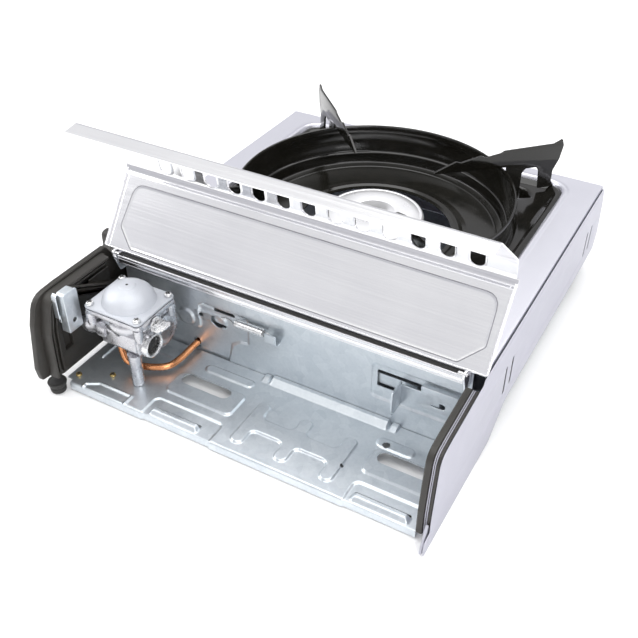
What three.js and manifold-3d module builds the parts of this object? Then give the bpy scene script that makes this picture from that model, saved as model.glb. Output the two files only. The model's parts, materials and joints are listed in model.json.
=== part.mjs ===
// Portable gas stove with a butane-can bay, millimetres, +Z up.
// X runs from the burner side to the can bay, -Y is the front with the knob, Z = 0 is the table.
// While it is drawn, X = 0 is the deck's burner-side edge and Y = 0 its middle;
// the last lines move the group so that its origin is under the middle of its box.
import * as THREE from 'three';
import { mergeVertices } from 'three/addons/utils/BufferGeometryUtils.js';
import Module from 'manifold-3d';

const wasm = await Module();
wasm.setup();

// ---- driving dimensions ----
const SHEET = 1.0; // drawn sheet thickness
const GAP = 0.3; // clearance between touching pieces
const DECK_Z = 78; // top of the deck
const DECK_W = 258; // deck, burner side to bay edge
const HALF_DEPTH = 140; // half of the body's front-to-back depth
const BASE_Z = 18; // underside of the burner compartment
const FLOOR_Z = 7; // top of the bay floor
const WALL_X = 248; // bay face of the divider wall
const FLOOR_X = 320.7; // outer edge of the bay floor

const BURNER_X = 119; // burner centre, on Y = 0
const PAN_HALF_X = 106.5;
const PAN_HALF_Y = 113.5;
const PAN_Z = 75.3; // underside of the pan's rim
const RING_R = 100; // windshield ring at its top
const RING_TOP = 98;
const SUPPORT_T = 1.6; // pot support plate

const HINGE_X = 258.5; // lid hinge axis, along Y
const HINGE_Z = DECK_Z;
const LID_OPEN = 126; // degrees, where the lid rests against its stop
const LID_T = 0.8;
const LID_Y = [-138.9, 138.8]; // the lip drops between the end panels
const LID_HALF_W = 140.5; // the flat lies over them
const SLOTS = 13; // vent slots along the lid's bend
const SLOT_PITCH = 18.45;
const SLOT_MID_Y = 4.6;

const REG_X = 285; // middle of the regulator's cover
const REG_Y = -97;
const COVER_Z = 64.4; // underside of the cover plate
const SOCKET_X = 289; // axis of the can's outlet
const SOCKET_Z = 38;
const KNOB_X = 225; // axis of the knob and the gas valve
const KNOB_Z = 49;
const KNOB_R = 20;
const LEVER_X = 308;

// ---- materials ----
function paint(colour, roughness, metalness) {
  return new THREE.MeshStandardMaterial({ color: colour, roughness, metalness });
}
const steel = paint(0xd9dade, 0.3, 0.9);
const silverPaint = paint(0xc9cad2, 0.4, 0.6);
const brightSteel = paint(0xe6e6e8, 0.2, 1.0);
const zinc = paint(0xaab2b8, 0.4, 0.85);
const castZinc = paint(0xa9abad, 0.45, 0.8);
const coverZinc = paint(0xbcc1c6, 0.5, 0.6);
const blackPlastic = paint(0x3a3833, 0.55, 0.0);
const enamel = paint(0x0d0c0b, 0.12, 0.2);
const aluminium = paint(0xd8d8da, 0.3, 0.9);
const copper = paint(0xb8683c, 0.3, 1.0);
const brass = paint(0xb99a52, 0.35, 1.0);
const ceramic = paint(0xe9e4d8, 0.5, 0.0);
const rubber = paint(0x1c1c1c, 0.85, 0.0);
const wireBlack = paint(0x202020, 0.6, 0.0);

// ---- geometry helpers ----
const group = new THREE.Group();

function solid(geometry) {
  const bare = geometry.clone();
  bare.deleteAttribute('normal');
  bare.deleteAttribute('uv');
  const merged = mergeVertices(bare, 1e-4);
  return new wasm.Manifold(new wasm.Mesh({
    numProp: 3,
    vertProperties: new Float32Array(merged.attributes.position.array),
    triVerts: new Uint32Array(merged.index.array),
  }));
}

function geometryOf(manifold) {
  const mesh = manifold.getMesh();
  const geometry = new THREE.BufferGeometry();
  geometry.setAttribute('position', new THREE.BufferAttribute(mesh.vertProperties, 3));
  geometry.setIndex(new THREE.BufferAttribute(mesh.triVerts, 1));
  return geometry;
}

// The first geometry with the others added, then the cutters taken away.
function build(parts, cutters = []) {
  let body = solid(parts[0]);
  for (const part of parts.slice(1)) body = body.add(solid(part));
  for (const cutter of cutters) body = body.subtract(solid(cutter));
  return geometryOf(body);
}

function add(name, geometry, material, parent = group) {
  const mesh = new THREE.Mesh(geometry, material);
  mesh.name = name;
  parent.add(mesh);
  return mesh;
}

function box(x0, x1, y0, y1, z0, z1) {
  const geometry = new THREE.BoxGeometry(x1 - x0, y1 - y0, z1 - z0);
  return geometry.translate((x0 + x1) / 2, (y0 + y1) / 2, (z0 + z1) / 2);
}

// A closed outline through [x, y, corner radius] points.
function outline(points, ShapeClass = THREE.Shape) {
  const shape = new ShapeClass();
  const count = points.length;
  for (let i = 0; i < count; i += 1) {
    const [x, y, r = 0] = points[i];
    const before = points[(i + count - 1) % count];
    const after = points[(i + 1) % count];
    const back = new THREE.Vector2(before[0] - x, before[1] - y).setLength(r);
    const on = new THREE.Vector2(after[0] - x, after[1] - y).setLength(r);
    if (i === 0) shape.moveTo(x + back.x, y + back.y);
    else shape.lineTo(x + back.x, y + back.y);
    if (r > 0) shape.quadraticCurveTo(x, y, x + on.x, y + on.y);
  }
  shape.closePath();
  return shape;
}

function rectangle(x0, x1, y0, y1, r = 0, ShapeClass = THREE.Shape) {
  return outline([[x0, y0, r], [x1, y0, r], [x1, y1, r], [x0, y1, r]], ShapeClass);
}

// An open line of points made into a strip of the given thickness on its right-hand side.
function strip(points, thickness) {
  const side = [];
  for (let i = 0; i < points.length; i += 1) {
    const here = new THREE.Vector2(...points[i]);
    const before = new THREE.Vector2(...points[Math.max(i - 1, 0)]);
    const after = new THREE.Vector2(...points[Math.min(i + 1, points.length - 1)]);
    const normals = [];
    for (const leg of [here.clone().sub(before), after.clone().sub(here)]) {
      if (leg.length() > 0) normals.push(new THREE.Vector2(leg.y, -leg.x).normalize());
    }
    const mean = normals.reduce((sum, n) => sum.add(n), new THREE.Vector2()).normalize();
    side.push(here.addScaledVector(mean, thickness / mean.dot(normals[normals.length - 1])));
  }
  const back = side.reverse().map((p) => [p.x, p.y]);
  return outline([...points, ...back]);
}

// Points along a rounded corner of a line: from, corner, to, cut back by r.
function bend(from, corner, to, r, steps = 5) {
  const c = new THREE.Vector2(...corner);
  const a = new THREE.Vector2(...from).sub(c).setLength(r).add(c);
  const b = new THREE.Vector2(...to).sub(c).setLength(r).add(c);
  const points = new THREE.QuadraticBezierCurve(a, c, b).getPoints(steps);
  return points.map((p) => [p.x, p.y]);
}

const extrude = { bevelEnabled: false, curveSegments: 5 };

function plateXY(shape, z0, z1) {
  return new THREE.ExtrudeGeometry(shape, { ...extrude, depth: z1 - z0 }).translate(0, 0, z0);
}

// Outline in (x, z), thick along Y.
function plateXZ(shape, y0, y1) {
  const geometry = new THREE.ExtrudeGeometry(shape, { ...extrude, depth: y1 - y0 });
  return geometry.rotateX(Math.PI / 2).translate(0, y1, 0);
}

// Outline in (y, z), thick along X.
function plateYZ(shape, x0, x1) {
  const geometry = new THREE.ExtrudeGeometry(shape, { ...extrude, depth: x1 - x0 });
  const turn = new THREE.Matrix4().makeBasis(
    new THREE.Vector3(0, 1, 0), new THREE.Vector3(0, 0, 1), new THREE.Vector3(1, 0, 0),
  );
  return geometry.applyMatrix4(turn).translate(x0, 0, 0);
}

// A turned solid on the Z axis from [radius, z] points, in either order.
function turned(profile, segments = 32) {
  const points = profile.map(([r, z]) => new THREE.Vector2(r, z));
  if (THREE.ShapeUtils.area(points) < 0) points.reverse();
  return new THREE.LatheGeometry(points, segments).rotateX(Math.PI / 2);
}

// The same closed on itself, for rings.
function ring(profile, segments = 32) {
  return turned([...profile, profile[0]], segments);
}

function rod(radius, from, to, segments = 16) {
  const a = new THREE.Vector3(...from);
  const b = new THREE.Vector3(...to);
  const geometry = new THREE.CylinderGeometry(radius, radius, a.distanceTo(b), segments);
  const up = new THREE.Vector3(0, 1, 0);
  const turn = new THREE.Quaternion().setFromUnitVectors(up, b.clone().sub(a).normalize());
  geometry.applyQuaternion(turn);
  return geometry.translate((a.x + b.x) / 2, (a.y + b.y) / 2, (a.z + b.z) / 2);
}

function tube(radius, points, steps, sides = 8) {
  const path = new THREE.CatmullRomCurve3(points.map((p) => new THREE.Vector3(...p)));
  const section = new THREE.Shape();
  for (let i = 0; i < sides; i += 1) {
    const angle = (2 * Math.PI * i) / sides;
    const point = [radius * Math.cos(angle), radius * Math.sin(angle)];
    if (i === 0) section.moveTo(...point);
    else section.lineTo(...point);
  }
  section.closePath();
  return new THREE.ExtrudeGeometry(section, { steps, extrudePath: path, bevelEnabled: false });
}

// ---- body sheets ----
const sideLine = [[0, DECK_Z], [-6, 65], [-9, 51], [-12, 32]];
const CORNER_FOOT = [-8, BASE_Z];

function topDeck() {
  const frontBack = HALF_DEPTH - SHEET - GAP;
  const top = rectangle(1.6, DECK_W, -frontBack, frontBack);
  const hole = { x: 107, y: 114 };
  const ledge = { x: 99, y: 106 };
  const window = (half, r, ShapeClass) => rectangle(
    BURNER_X - half.x, BURNER_X + half.x, -half.y, half.y, r, ShapeClass,
  );
  top.holes.push(window(hole, 14, THREE.Path));
  const outer = { x: hole.x + SHEET, y: hole.y + SHEET };
  const recess = window(outer, 15, THREE.Shape);
  recess.holes.push(window(hole, 14, THREE.Path));
  const shelf = window(outer, 15, THREE.Shape);
  shelf.holes.push(window(ledge, 10, THREE.Path));
  const lip = box(DECK_W - SHEET, DECK_W, -123, 123, DECK_Z - 8, DECK_Z);
  const lugRoom = [[-141, -123], [123, 141]].map(([y0, y1]) => box(253.5, 262, y0, y1, 60, 90));
  return build([
    plateXY(top, DECK_Z - SHEET, DECK_Z),
    plateXY(recess, PAN_Z - GAP - SHEET, DECK_Z),
    plateXY(shelf, PAN_Z - GAP - SHEET, PAN_Z - GAP),
    lip,
  ], lugRoom);
}

const SLITS_X = [210.8, 198.8, 29.8, 18.2]; // two pairs of upright vent slits
const SLIT = { halfWidth: 0.8, bottom: 31, top: 52.4 };
function backPanel() {
  const shape = outline([
    [0, DECK_Z], [256, DECK_Z], [258, 74], [302, 70.5, 4], [318, 68.5, 12], [322.5, 26],
    [323, 14], [331, 12, 2], [331, 1, 3], [228, 2], [202, BASE_Z], [...CORNER_FOOT, 6],
    [-12, 32, 4], [-9, 51], [-6, 65],
  ]);
  for (const x of SLITS_X) {
    const [left, right] = [x - SLIT.halfWidth, x + SLIT.halfWidth];
    shape.holes.push(rectangle(left, right, SLIT.bottom, SLIT.top, 0.6, THREE.Path));
  }
  return plateXZ(shape, HALF_DEPTH - SHEET, HALF_DEPTH);
}

const inside = HALF_DEPTH - SHEET - GAP;
add('top_deck', topDeck(), steel);
add('back_panel', backPanel(), silverPaint);
const sideBend = bend([5, BASE_Z], CORNER_FOOT, [-12, 32], 6, 3);
add('side_panel', plateXZ(
  strip([[5, BASE_Z], ...sideBend, ...sideLine.slice().reverse()], SHEET),
  -inside,
  inside,
), silverPaint);
add('burner_base', plateXZ(
  strip([[246, 3], [228, 3], [202, BASE_Z], [6.5, BASE_Z]], SHEET),
  -inside,
  inside,
), zinc);

const FLOOR_Y = [-134.7, 130.2];
const FLANGE_Y = -129.8; // the floor's outer edge stops short of the front foot
function bayFloor() {
  const shape = outline([
    [WALL_X + GAP, FLOOR_Y[0]], [316, FLOOR_Y[0]], [318, FLANGE_Y], [FLOOR_X, FLANGE_Y],
    [FLOOR_X, FLOOR_Y[1]], [WALL_X + GAP, FLOOR_Y[1]],
  ]);
  for (const y0 of [-64, 86]) {
    shape.holes.push(rectangle(274, 284, y0, y0 + 39, 1.5, THREE.Path));
    shape.holes.push(rectangle(309, 316, y0, y0 + 38, 1.5, THREE.Path));
  }
  const flange = box(FLOOR_X - SHEET, FLOOR_X, FLANGE_Y, FLOOR_Y[1], 1, FLOOR_Z);
  return build([plateXY(shape, FLOOR_Z - SHEET, FLOOR_Z), flange]);
}
add('bay_floor', bayFloor(), zinc);

const PUSHER_Z = 39; // middle height of the pusher's window
function dividerWall() {
  const shape = rectangle(-131.2, 130.2, FLOOR_Z - 3, DECK_Z - SHEET - GAP);
  shape.holes.push(rectangle(-77, -71.5, 8.5, 17, 1, THREE.Path)); // copper tube
  shape.holes.push(rectangle(-60, -50, 33.5, 43.5, 4, THREE.Path)); // round inspection hole
  shape.holes.push(rectangle(-58, -39, 47, 50, 1, THREE.Path)); // spring slot
  shape.holes.push(rectangle(68, 124, PUSHER_Z - 5, PUSHER_Z + 9, 1, THREE.Path));
  return plateYZ(shape, WALL_X - SHEET, WALL_X);
}
add('divider_wall', dividerWall(), zinc);

// ---- front control panel, rear trim and feet ----
const FASCIA_Y = [-144, -139.3];
const BAY_WALL_Y = -135; // inner face of the panel at the bay
const RIM_Y = -131.5;
function bayArch(inset, start, end) {
  const corner = [321 - inset, 76.5 - inset];
  const side = [327 - inset, 50];
  const top = [303, 76.5 - inset];
  return [
    [start, 76.5 - inset], ...bend(top, corner, side, 13), side, [328 - inset, 24], [328 - inset, end],
  ];
}

function frontPanel() {
  const face = outline([
    [-4, 69, 2], [250, 69, 3], [256, DECK_Z, 3], [305, DECK_Z], [325, 77, 14], [331, 58], [335.6, 24], [334, 14, 2], [300, 9],
    [232, 9], [228, 3], [202, BASE_Z], [...CORNER_FOOT, 6], [-12, 32, 4], [-9, 51], [-6, 65],
  ]);
  const [knobLeft, knobRight] = [KNOB_X - 5, KNOB_X + 5];
  face.holes.push(rectangle(knobLeft, knobRight, KNOB_Z - 5, KNOB_Z + 5, 4, THREE.Path));
  const bay = outline([[259.5, 9], [259.5, 76.5], ...bayArch(0, 300, 14).slice(1), [318, 9]]);
  const rim = strip(bayArch(0, 262.5, 14), 3);
  const pocket = plateXZ(rectangle(268, 320, 20, 70, 6), FASCIA_Y[0] - 1, BAY_WALL_Y - 3);
  const leverSlot = box(LEVER_X - 4, LEVER_X + 4, -150, -130, 26, 64);
  const layers = [
    plateXZ(face, ...FASCIA_Y),
    plateXZ(bay, FASCIA_Y[1] - 1, BAY_WALL_Y),
    plateXZ(rim, BAY_WALL_Y - 1, RIM_Y),
  ];
  return build(layers, [pocket, leverSlot]);
}
add('front_panel', frontPanel(), blackPlastic);

const trimLine = [
  [262, 72.6], ...bend([301, 69.5], [316.5, 67.3], [319.5, 45], 11), [321.4, 26], [321.4, 8],
];
add('rear_trim', plateXZ(strip(trimLine, 4), 130.5, inside), blackPlastic);

function foot(name, x, y, height, topR, footR) {
  const profile = [[0, 0], [footR, 0], [topR, height], [0, height]];
  add(name, turned(profile, 20), rubber).position.set(x, y, 0);
}
foot('foot_front_burner', 28, -129, BASE_Z - GAP, 8, 6.5);
foot('foot_rear_burner', 28, 129, BASE_Z - GAP, 8, 6.5);
foot('foot_front_bay', 325, -137, 8.6, 6.6, 6);
foot('foot_rear_bay', 306, 121, FLOOR_Z - SHEET - GAP, 7, 6.5);

// ---- drip pan with its ring and pot supports, which lift off together ----
const DIAGONALS = [45, 135, 225, 315];

function turnedBox(r0, r1, halfWidth, z0, z1, degrees) {
  const geometry = box(r0, r1, -halfWidth, halfWidth, z0, z1);
  return geometry.rotateZ(THREE.MathUtils.degToRad(degrees)).translate(BURNER_X, 0, 0);
}

function dripPan() {
  const rim = rectangle(BURNER_X - PAN_HALF_X, BURNER_X + PAN_HALF_X, -PAN_HALF_Y, PAN_HALF_Y, 13);
  const mouth = new THREE.Path();
  mouth.absarc(BURNER_X, 0, 96, 0, 2 * Math.PI);
  rim.holes.push(mouth);
  const rimPlate = new THREE.ExtrudeGeometry(rim, { ...extrude, depth: SHEET, curveSegments: 24 });
  const top = PAN_Z + SHEET;
  const bowl = ring([
    [97, PAN_Z], [97, 66], [70, 62.5], [58, 62.5], [58, 63.5], [70, 63.5], [96, 67], [96, top], [97, top],
  ], 48).translate(BURNER_X, 0, 0);
  const pockets = DIAGONALS.map((a) => turnedBox(100, 127, 9, 62, PAN_Z + 0.5, a));
  const hollows = DIAGONALS.map((a) => turnedBox(101, 126, 8, 63, PAN_Z + 2, a));
  return build([rimPlate.translate(0, 0, PAN_Z), bowl, ...pockets], hollows);
}
add('drip_pan', dripPan(), enamel);

add('windshield_ring', ring([
  [97.5, PAN_Z + SHEET + GAP], [98.5, 96], [98, RING_TOP - 1], [99, RING_TOP], [RING_R + 1, RING_TOP],
  [RING_R + 1.5, RING_TOP - 1], [RING_R + 1, 96], [99, PAN_Z + SHEET + GAP],
], 48), enamel).position.x = BURNER_X;

function potSupport() {
  const shape = outline([
    [42, 101], [62, 109], [66, 107.5], [82, 111], [86, 109], [98, 111], [101, 112.6], [141, 113.2],
    [148, 116.5, 1], [149.5, 111, 2], [147.5, 100], [143.5, 91, 3], [143.5, 82, 2], [146.5, 76.8],
    [133, 76.8], [131.5, 92], [129, 95.5], [120, 95.5], [117.5, 92], [117.5, 63.5], [104, 63.5],
    [104, 98.9], [93, 98.9],
  ].reverse());
  return plateXZ(shape, -SUPPORT_T / 2, SUPPORT_T / 2);
}
DIAGONALS.forEach((angle, i) => {
  const support = add(`pot_support_${i + 1}`, potSupport(), enamel);
  support.position.x = BURNER_X;
  support.rotation.z = THREE.MathUtils.degToRad(angle);
});

// ---- burner, mixing tube, jet, gas valve ----
const FEED = new THREE.Vector3(0.744, -0.668, 0); // from the burner towards the gas valve
const FEED_Z = 45;
function alongFeed(distance) {
  return [BURNER_X + FEED.x * distance, FEED.y * distance, FEED_Z];
}

const bowlProfile = [
  [0, 34], [20, 34], [25, 38], [28, 52], [34, 62], [34, 70], [32.5, 70], [32.5, 63], [26, 53],
  [21, 40], [0, 37],
];
add('burner_head', build(
  [turned(bowlProfile, 40).translate(BURNER_X, 0, 0)],
  [rod(7, alongFeed(15), alongFeed(40))],
), castZinc);
add('burner_cap', turned([
  [0, 72], [33, 70.3], [37, 71.5], [37.3, 74], [35, 76.5], [20, 77.8], [0, 78],
], 40), aluminium).position.x = BURNER_X;

function pipe(outerR, innerR, from, to) {
  const a = new THREE.Vector3(...from);
  const b = new THREE.Vector3(...to);
  const beyond = b.clone().sub(a).setLength(2);
  return build(
    [rod(outerR, from, to, 20)],
    [rod(innerR, a.clone().sub(beyond).toArray(), b.clone().add(beyond).toArray(), 16)],
  );
}
add('mixing_tube', pipe(8, 7, alongFeed(30.5), alongFeed(112)), zinc);
add('gas_jet', build(
  [rod(3.5, alongFeed(116), alongFeed(134)), rod(5.5, alongFeed(122), alongFeed(127), 6)],
  [rod(0.8, alongFeed(114), alongFeed(136), 8)],
), brass);

const VALVE_Y = [-128, -95];
add('gas_valve', build(
  [
    box(KNOB_X - 11, KNOB_X + 11, -122, VALVE_Y[1], 34, 60),
    rod(9, [KNOB_X, VALVE_Y[0], KNOB_Z], [KNOB_X, -120, KNOB_Z], 24),
  ],
  [rod(3.3, [KNOB_X, -130, KNOB_Z], [KNOB_X, -105, KNOB_Z])],
), castZinc);

const spindleCam = rod(6.5, [KNOB_X, -134.5, KNOB_Z], [KNOB_X, -129.5, KNOB_Z], 20);
add('valve_spindle', build(
  [rod(3, [KNOB_X, -152, KNOB_Z], [KNOB_X, -106, KNOB_Z]), spindleCam],
), brass);

function controlKnob() {
  const profile = [
    [0, 0], [KNOB_R, 0], [KNOB_R, 6], [KNOB_R - 1.5, 8], [KNOB_R - 3, 8.5], [KNOB_R - 4, 18], [0, 19],
  ];
  const body = turned(profile, 32).rotateX(Math.PI / 2).translate(KNOB_X, -145, KNOB_Z);
  const grip = plateXZ(rectangle(KNOB_X - 5, KNOB_X + 5, KNOB_Z - 18, KNOB_Z + 18, 4.5), -169, -155);
  return build([body, grip], [rod(3 + GAP, [KNOB_X, -153, KNOB_Z], [KNOB_X, -140, KNOB_Z])]);
}
add('control_knob', controlKnob(), blackPlastic);

add('igniter_body', build(
  [box(208, 242, -138.5, -124, 64, 74)],
  [rod(2.5 + GAP, [KNOB_X, -132, 60], [KNOB_X, -132, 72.5], 12)],
), blackPlastic);
add('igniter_plunger', rod(2.5, [KNOB_X, -132, KNOB_Z + 7.2], [KNOB_X, -132, 67], 12), ceramic);
add('electrode', rod(2.2, [BURNER_X + 40, 10, 50], [BURNER_X + 40, 10, 72], 12), ceramic);
add('electrode_wire', tube(1, [
  [BURNER_X + 40, 10, 49.2], [BURNER_X + 42, 4, 42], [178, -40, 32], [196, -90, 28], [200, -120, 40],
  [204, -126, 60], [206, -128.5, 68],
], 36, 6), wireBlack);

// ---- pressure regulator in the bay ----
function cornerPlace(i, dx, dy) {
  return [REG_X + (i % 2 ? dx : -dx), REG_Y + (i > 1 ? dy : -dy)];
}

function regulatorBody() {
  const flange = rectangle(REG_X - 20, REG_X + 20, REG_Y - 23, REG_Y + 23, 4);
  return build(
    [
      plateXY(flange, 60, 63.2),
      turned([[0, 40], [15, 40], [18, 50], [18, 62], [0, 62]], 32).translate(REG_X, REG_Y, 0),
      box(272, 300, -112, -82, 32, 56),
      rod(9, [293, -129, 45], [293, -108, 45], 20),
      rod(16, [271, -104, 38], [271, -80, 38], 24),
      rod(9, [SOCKET_X, -82.8, SOCKET_Z], [SOCKET_X, -80, SOCKET_Z], 20),
    ],
    [rod(14, [REG_X, REG_Y, 55], [REG_X, REG_Y, 66], 24)],
  );
}
add('regulator_body', regulatorBody(), castZinc);

const COVER_T = 2;
function regulatorCover() {
  const plate = rectangle(REG_X - 20, REG_X + 20, REG_Y - 23, REG_Y + 23, 4);
  const dome = turned([
    [0, 0], [18.2, 0], [17.8, 1.8], [15.6, 5.8], [12.2, 9], [8.4, 11.2], [5.6, 12.1], [5, 12.9], [0, 12.9],
  ]);
  const hollow = turned([[0, -3], [15.8, -3], [15.8, 1.5], [13.6, 5.2], [10.6, 8], [7, 9.8], [0, 9.8]]);
  const top = COVER_Z + COVER_T - 0.5;
  const vent = rod(0.8, [REG_X, REG_Y, top + 5], [REG_X, REG_Y, top + 15], 8);
  return build(
    [plateXY(plate, COVER_Z, COVER_Z + COVER_T), dome.translate(REG_X, REG_Y, top)],
    [hollow.translate(REG_X, REG_Y, top), vent],
  );
}
add('regulator_cover', regulatorCover(), coverZinc);
const disc = turned([[0, 63.5], [17, 63.5], [17, 64.1], [0, 64.1]], 24);
add('diaphragm', disc, rubber).position.set(REG_X, REG_Y, 0);

function coil(radius, wire, turns, length, perTurn = 12) {
  const points = [];
  for (let i = 0; i <= turns * perTurn; i += 1) {
    const angle = (2 * Math.PI * i) / perTurn;
    points.push([radius * Math.cos(angle), radius * Math.sin(angle), (length * i) / (turns * perTurn)]);
  }
  return tube(wire, points, turns * perTurn, 6);
}
add('regulator_spring', coil(5, 0.6, 4, 7.5), brightSteel).position.set(REG_X, REG_Y, COVER_Z + 0.7);

for (let i = 0; i < 4; i += 1) {
  const [x, y] = cornerPlace(i, 16.5, 19.5);
  const head = turned([[0, 0], [2.8, 0], [2.8, 1], [1.6, 2], [0, 2]], 14);
  add(`cover_screw_${i + 1}`, head, brightSteel).position.set(x, y, COVER_Z + COVER_T + GAP);
}

add('can_socket', build(
  [rod(10, [SOCKET_X, -79.7, SOCKET_Z], [SOCKET_X, -76, SOCKET_Z], 20)],
  [rod(7, [SOCKET_X, -82, SOCKET_Z], [SOCKET_X, -75, SOCKET_Z], 20)],
), castZinc);
add('latch_bracket', build([
  box(283, 294, -73.7, -63.5, 57.6, 58.8),
  box(283, 294, -73.7, -72.5, 54, 63.2),
  box(292.8, 294, -73.7, -66, 55, 58.8),
]), brightSteel);
add('support_post', rod(4.4, [298, -87.5, FLOOR_Z + GAP], [298, -87.5, 32 - GAP], 16), castZinc);
add('copper_tube', tube(2.4, [
  [292, -104, 31.4], [292, -104, 22], [291, -100, 15], [286, -88, 12.6], [280, -77, 12.4],
  [270, -74.2, 12.4], [256, -74.2, 12.6], [243, -74.2, 12.8], [233, -76, 14], [226, -88, 18],
  [225, -103, 23], [225, -106, 31.8],
], 44), copper);

// ---- can lock: lever at the front, pusher at the back, joined behind the wall ----
add('lever_handle', build([
  plateXZ(rectangle(LEVER_X - 9, LEVER_X + 9, 54, 63, 3), -152, -138.6),
  box(LEVER_X - 3, LEVER_X + 3, -140, -133.2, 54, 62),
]), blackPlastic);
add('lever_bracket', build([
  box(303, 304, -131, -124, 48, 79),
  box(303, 316, -125, -124, 48, 79),
  box(315, 316, -131, -124, 48, 79),
  box(303, 316, -132.8, -130, 54, 62),
  box(303, 316, -131, -124, 78, 79),
], [rod(1.8, [309.5, -120, 56], [309.5, -128, 56], 12)]), zinc);
add('pusher_slide', build([
  box(249, 263, 85, 86.2, 28, 48),
  box(WALL_X + 1, WALL_X + 2.2, 85, 122, 28.5, 45.5),
  box(243, WALL_X + 2, 95, 112, PUSHER_Z - 2, PUSHER_Z + 2),
]), zinc);
add('link_rod', box(243, 244.5, -110, 94.7, PUSHER_Z - 4, PUSHER_Z + 4), zinc);
add('pusher_guide', build([
  box(WALL_X + GAP, WALL_X + 4, 100, 124, 50.5, 51.5),
  box(WALL_X + 3, WALL_X + 4, 100, 124, 46.5, 51.5),
]), zinc);
const springGeometry = coil(2.2, 0.6, 9, 24, 8).rotateX(-Math.PI / 2);
add('return_spring', springGeometry, brightSteel).position.set(WALL_X + 4, -37, 48);
add('spring_anchor', box(WALL_X + GAP, WALL_X + 6, -12.2, -3, 40, 50), zinc);

// ---- lid, drawn shut about its hinge and turned open ----
const lidGroup = new THREE.Group();
lidGroup.position.set(HINGE_X, 0, HINGE_Z);
lidGroup.rotation.y = -THREE.MathUtils.degToRad(LID_OPEN);
group.add(lidGroup);

const EAR_Y = [[-127.5, -126], [124.5, 126]];
function lid() {
  const profile = [[3, 2.4], [61.3, 2.4], [71.2, -7.5], [74.9, -60], [66.8, -68.4]];
  const sheet = plateXZ(strip(profile, LID_T), ...LID_Y);
  const flat = box(3, 58, -LID_HALF_W, LID_HALF_W, 2.4 - LID_T, 2.4);
  const ears = EAR_Y.map(([y0, y1]) => plateXZ(outline([
    [-3, -3, 2], [3, -3, 2], [10, 1.8], [3.2, 1.8], [-3, 3, 2],
  ]), y0, y1));
  const cutters = EAR_Y.map(([y0, y1]) => rod(1.2 + GAP, [0, y0 - 1, 0], [0, y1 + 1, 0], 12));
  for (let i = 0; i < SLOTS; i += 1) {
    const y = SLOT_MID_Y + (i - (SLOTS - 1) / 2) * SLOT_PITCH;
    cutters.push(box(-4.5, 4.5, y - 4.5, y + 4.5, -6, 6).rotateY(Math.PI / 4).translate(69.5, 0, -4.5));
  }
  return build([sheet, flat, ...ears], cutters);
}
add('lid', lid(), brightSteel, lidGroup);

const LUGS = { front: [-130, -128.5], back: [127.5, 129] };
for (const [end, [y0, y1]] of Object.entries(LUGS)) {
  const plate = plateXZ(outline([
    [WALL_X + GAP, 62], [256, 62, 3], [261, 76, 2], [261, 80.4, 2.4], [256, 80.4, 2.4], [255.8, 76],
    [WALL_X + GAP, 76],
  ].reverse()), y0, y1);
  const hole = rod(1.2 + GAP, [HINGE_X, y0 - 1, HINGE_Z], [HINGE_X, y1 + 1, HINGE_Z], 12);
  add(`hinge_lug_${end}`, build([plate], [hole]), brightSteel);
  const ear = EAR_Y[end === 'front' ? 0 : 1];
  const low = Math.min(y0, ear[0]) - 0.8;
  const high = Math.max(y1, ear[1]) + 0.8;
  add(`hinge_pin_${end}`, rod(1.2, [HINGE_X, low, HINGE_Z], [HINGE_X, high, HINGE_Z], 10), brightSteel);
}

// ---- origin: middle of the box, on the table ----
group.updateMatrixWorld(true);
const bounds = new THREE.Box3().setFromObject(group, true);
group.position.set(-(bounds.min.x + bounds.max.x) / 2, -(bounds.min.y + bounds.max.y) / 2, -bounds.min.z);

export default group;
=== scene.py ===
"""Portable gas stove with its can bay open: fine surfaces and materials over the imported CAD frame.

Shapes are written in the drawing's millimetres: X from the burner side to the can bay, Y from front to
back with 0 at the deck's middle, Z up from the table. ZERO moves them into the frame.
"""
import json
import math

import bmesh
import bpy
import numpy as np
from mathutils import Matrix, Vector


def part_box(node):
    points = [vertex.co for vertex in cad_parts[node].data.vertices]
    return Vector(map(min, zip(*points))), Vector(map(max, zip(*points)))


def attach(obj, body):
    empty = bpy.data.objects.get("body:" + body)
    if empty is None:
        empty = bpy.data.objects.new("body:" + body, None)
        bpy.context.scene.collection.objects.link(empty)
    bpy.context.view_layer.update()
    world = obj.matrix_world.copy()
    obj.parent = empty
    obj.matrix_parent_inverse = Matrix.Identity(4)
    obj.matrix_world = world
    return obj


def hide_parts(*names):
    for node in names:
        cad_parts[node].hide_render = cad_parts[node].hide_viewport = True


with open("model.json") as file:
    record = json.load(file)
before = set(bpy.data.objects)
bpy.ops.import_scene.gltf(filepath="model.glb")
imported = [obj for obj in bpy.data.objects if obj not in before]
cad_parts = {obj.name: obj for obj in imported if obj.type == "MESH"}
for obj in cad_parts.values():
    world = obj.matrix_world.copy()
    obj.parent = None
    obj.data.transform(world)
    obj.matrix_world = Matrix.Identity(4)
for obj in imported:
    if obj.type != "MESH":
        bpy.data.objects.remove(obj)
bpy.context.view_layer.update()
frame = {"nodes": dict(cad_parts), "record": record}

# ---- the drawing's frame ----
MM = 0.001
DECK_EDGE = 258.0  # bay side of the deck
deck_low, deck_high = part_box("top_deck")
ZERO = np.array([deck_high.x - DECK_EDGE * MM, (deck_low.y + deck_high.y) / 2, 0.0])


def drawn(node):
    """The node's box in the drawing's millimetres."""
    low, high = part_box(node)
    return (np.array(low) - ZERO) / MM, (np.array(high) - ZERO) / MM


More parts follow.
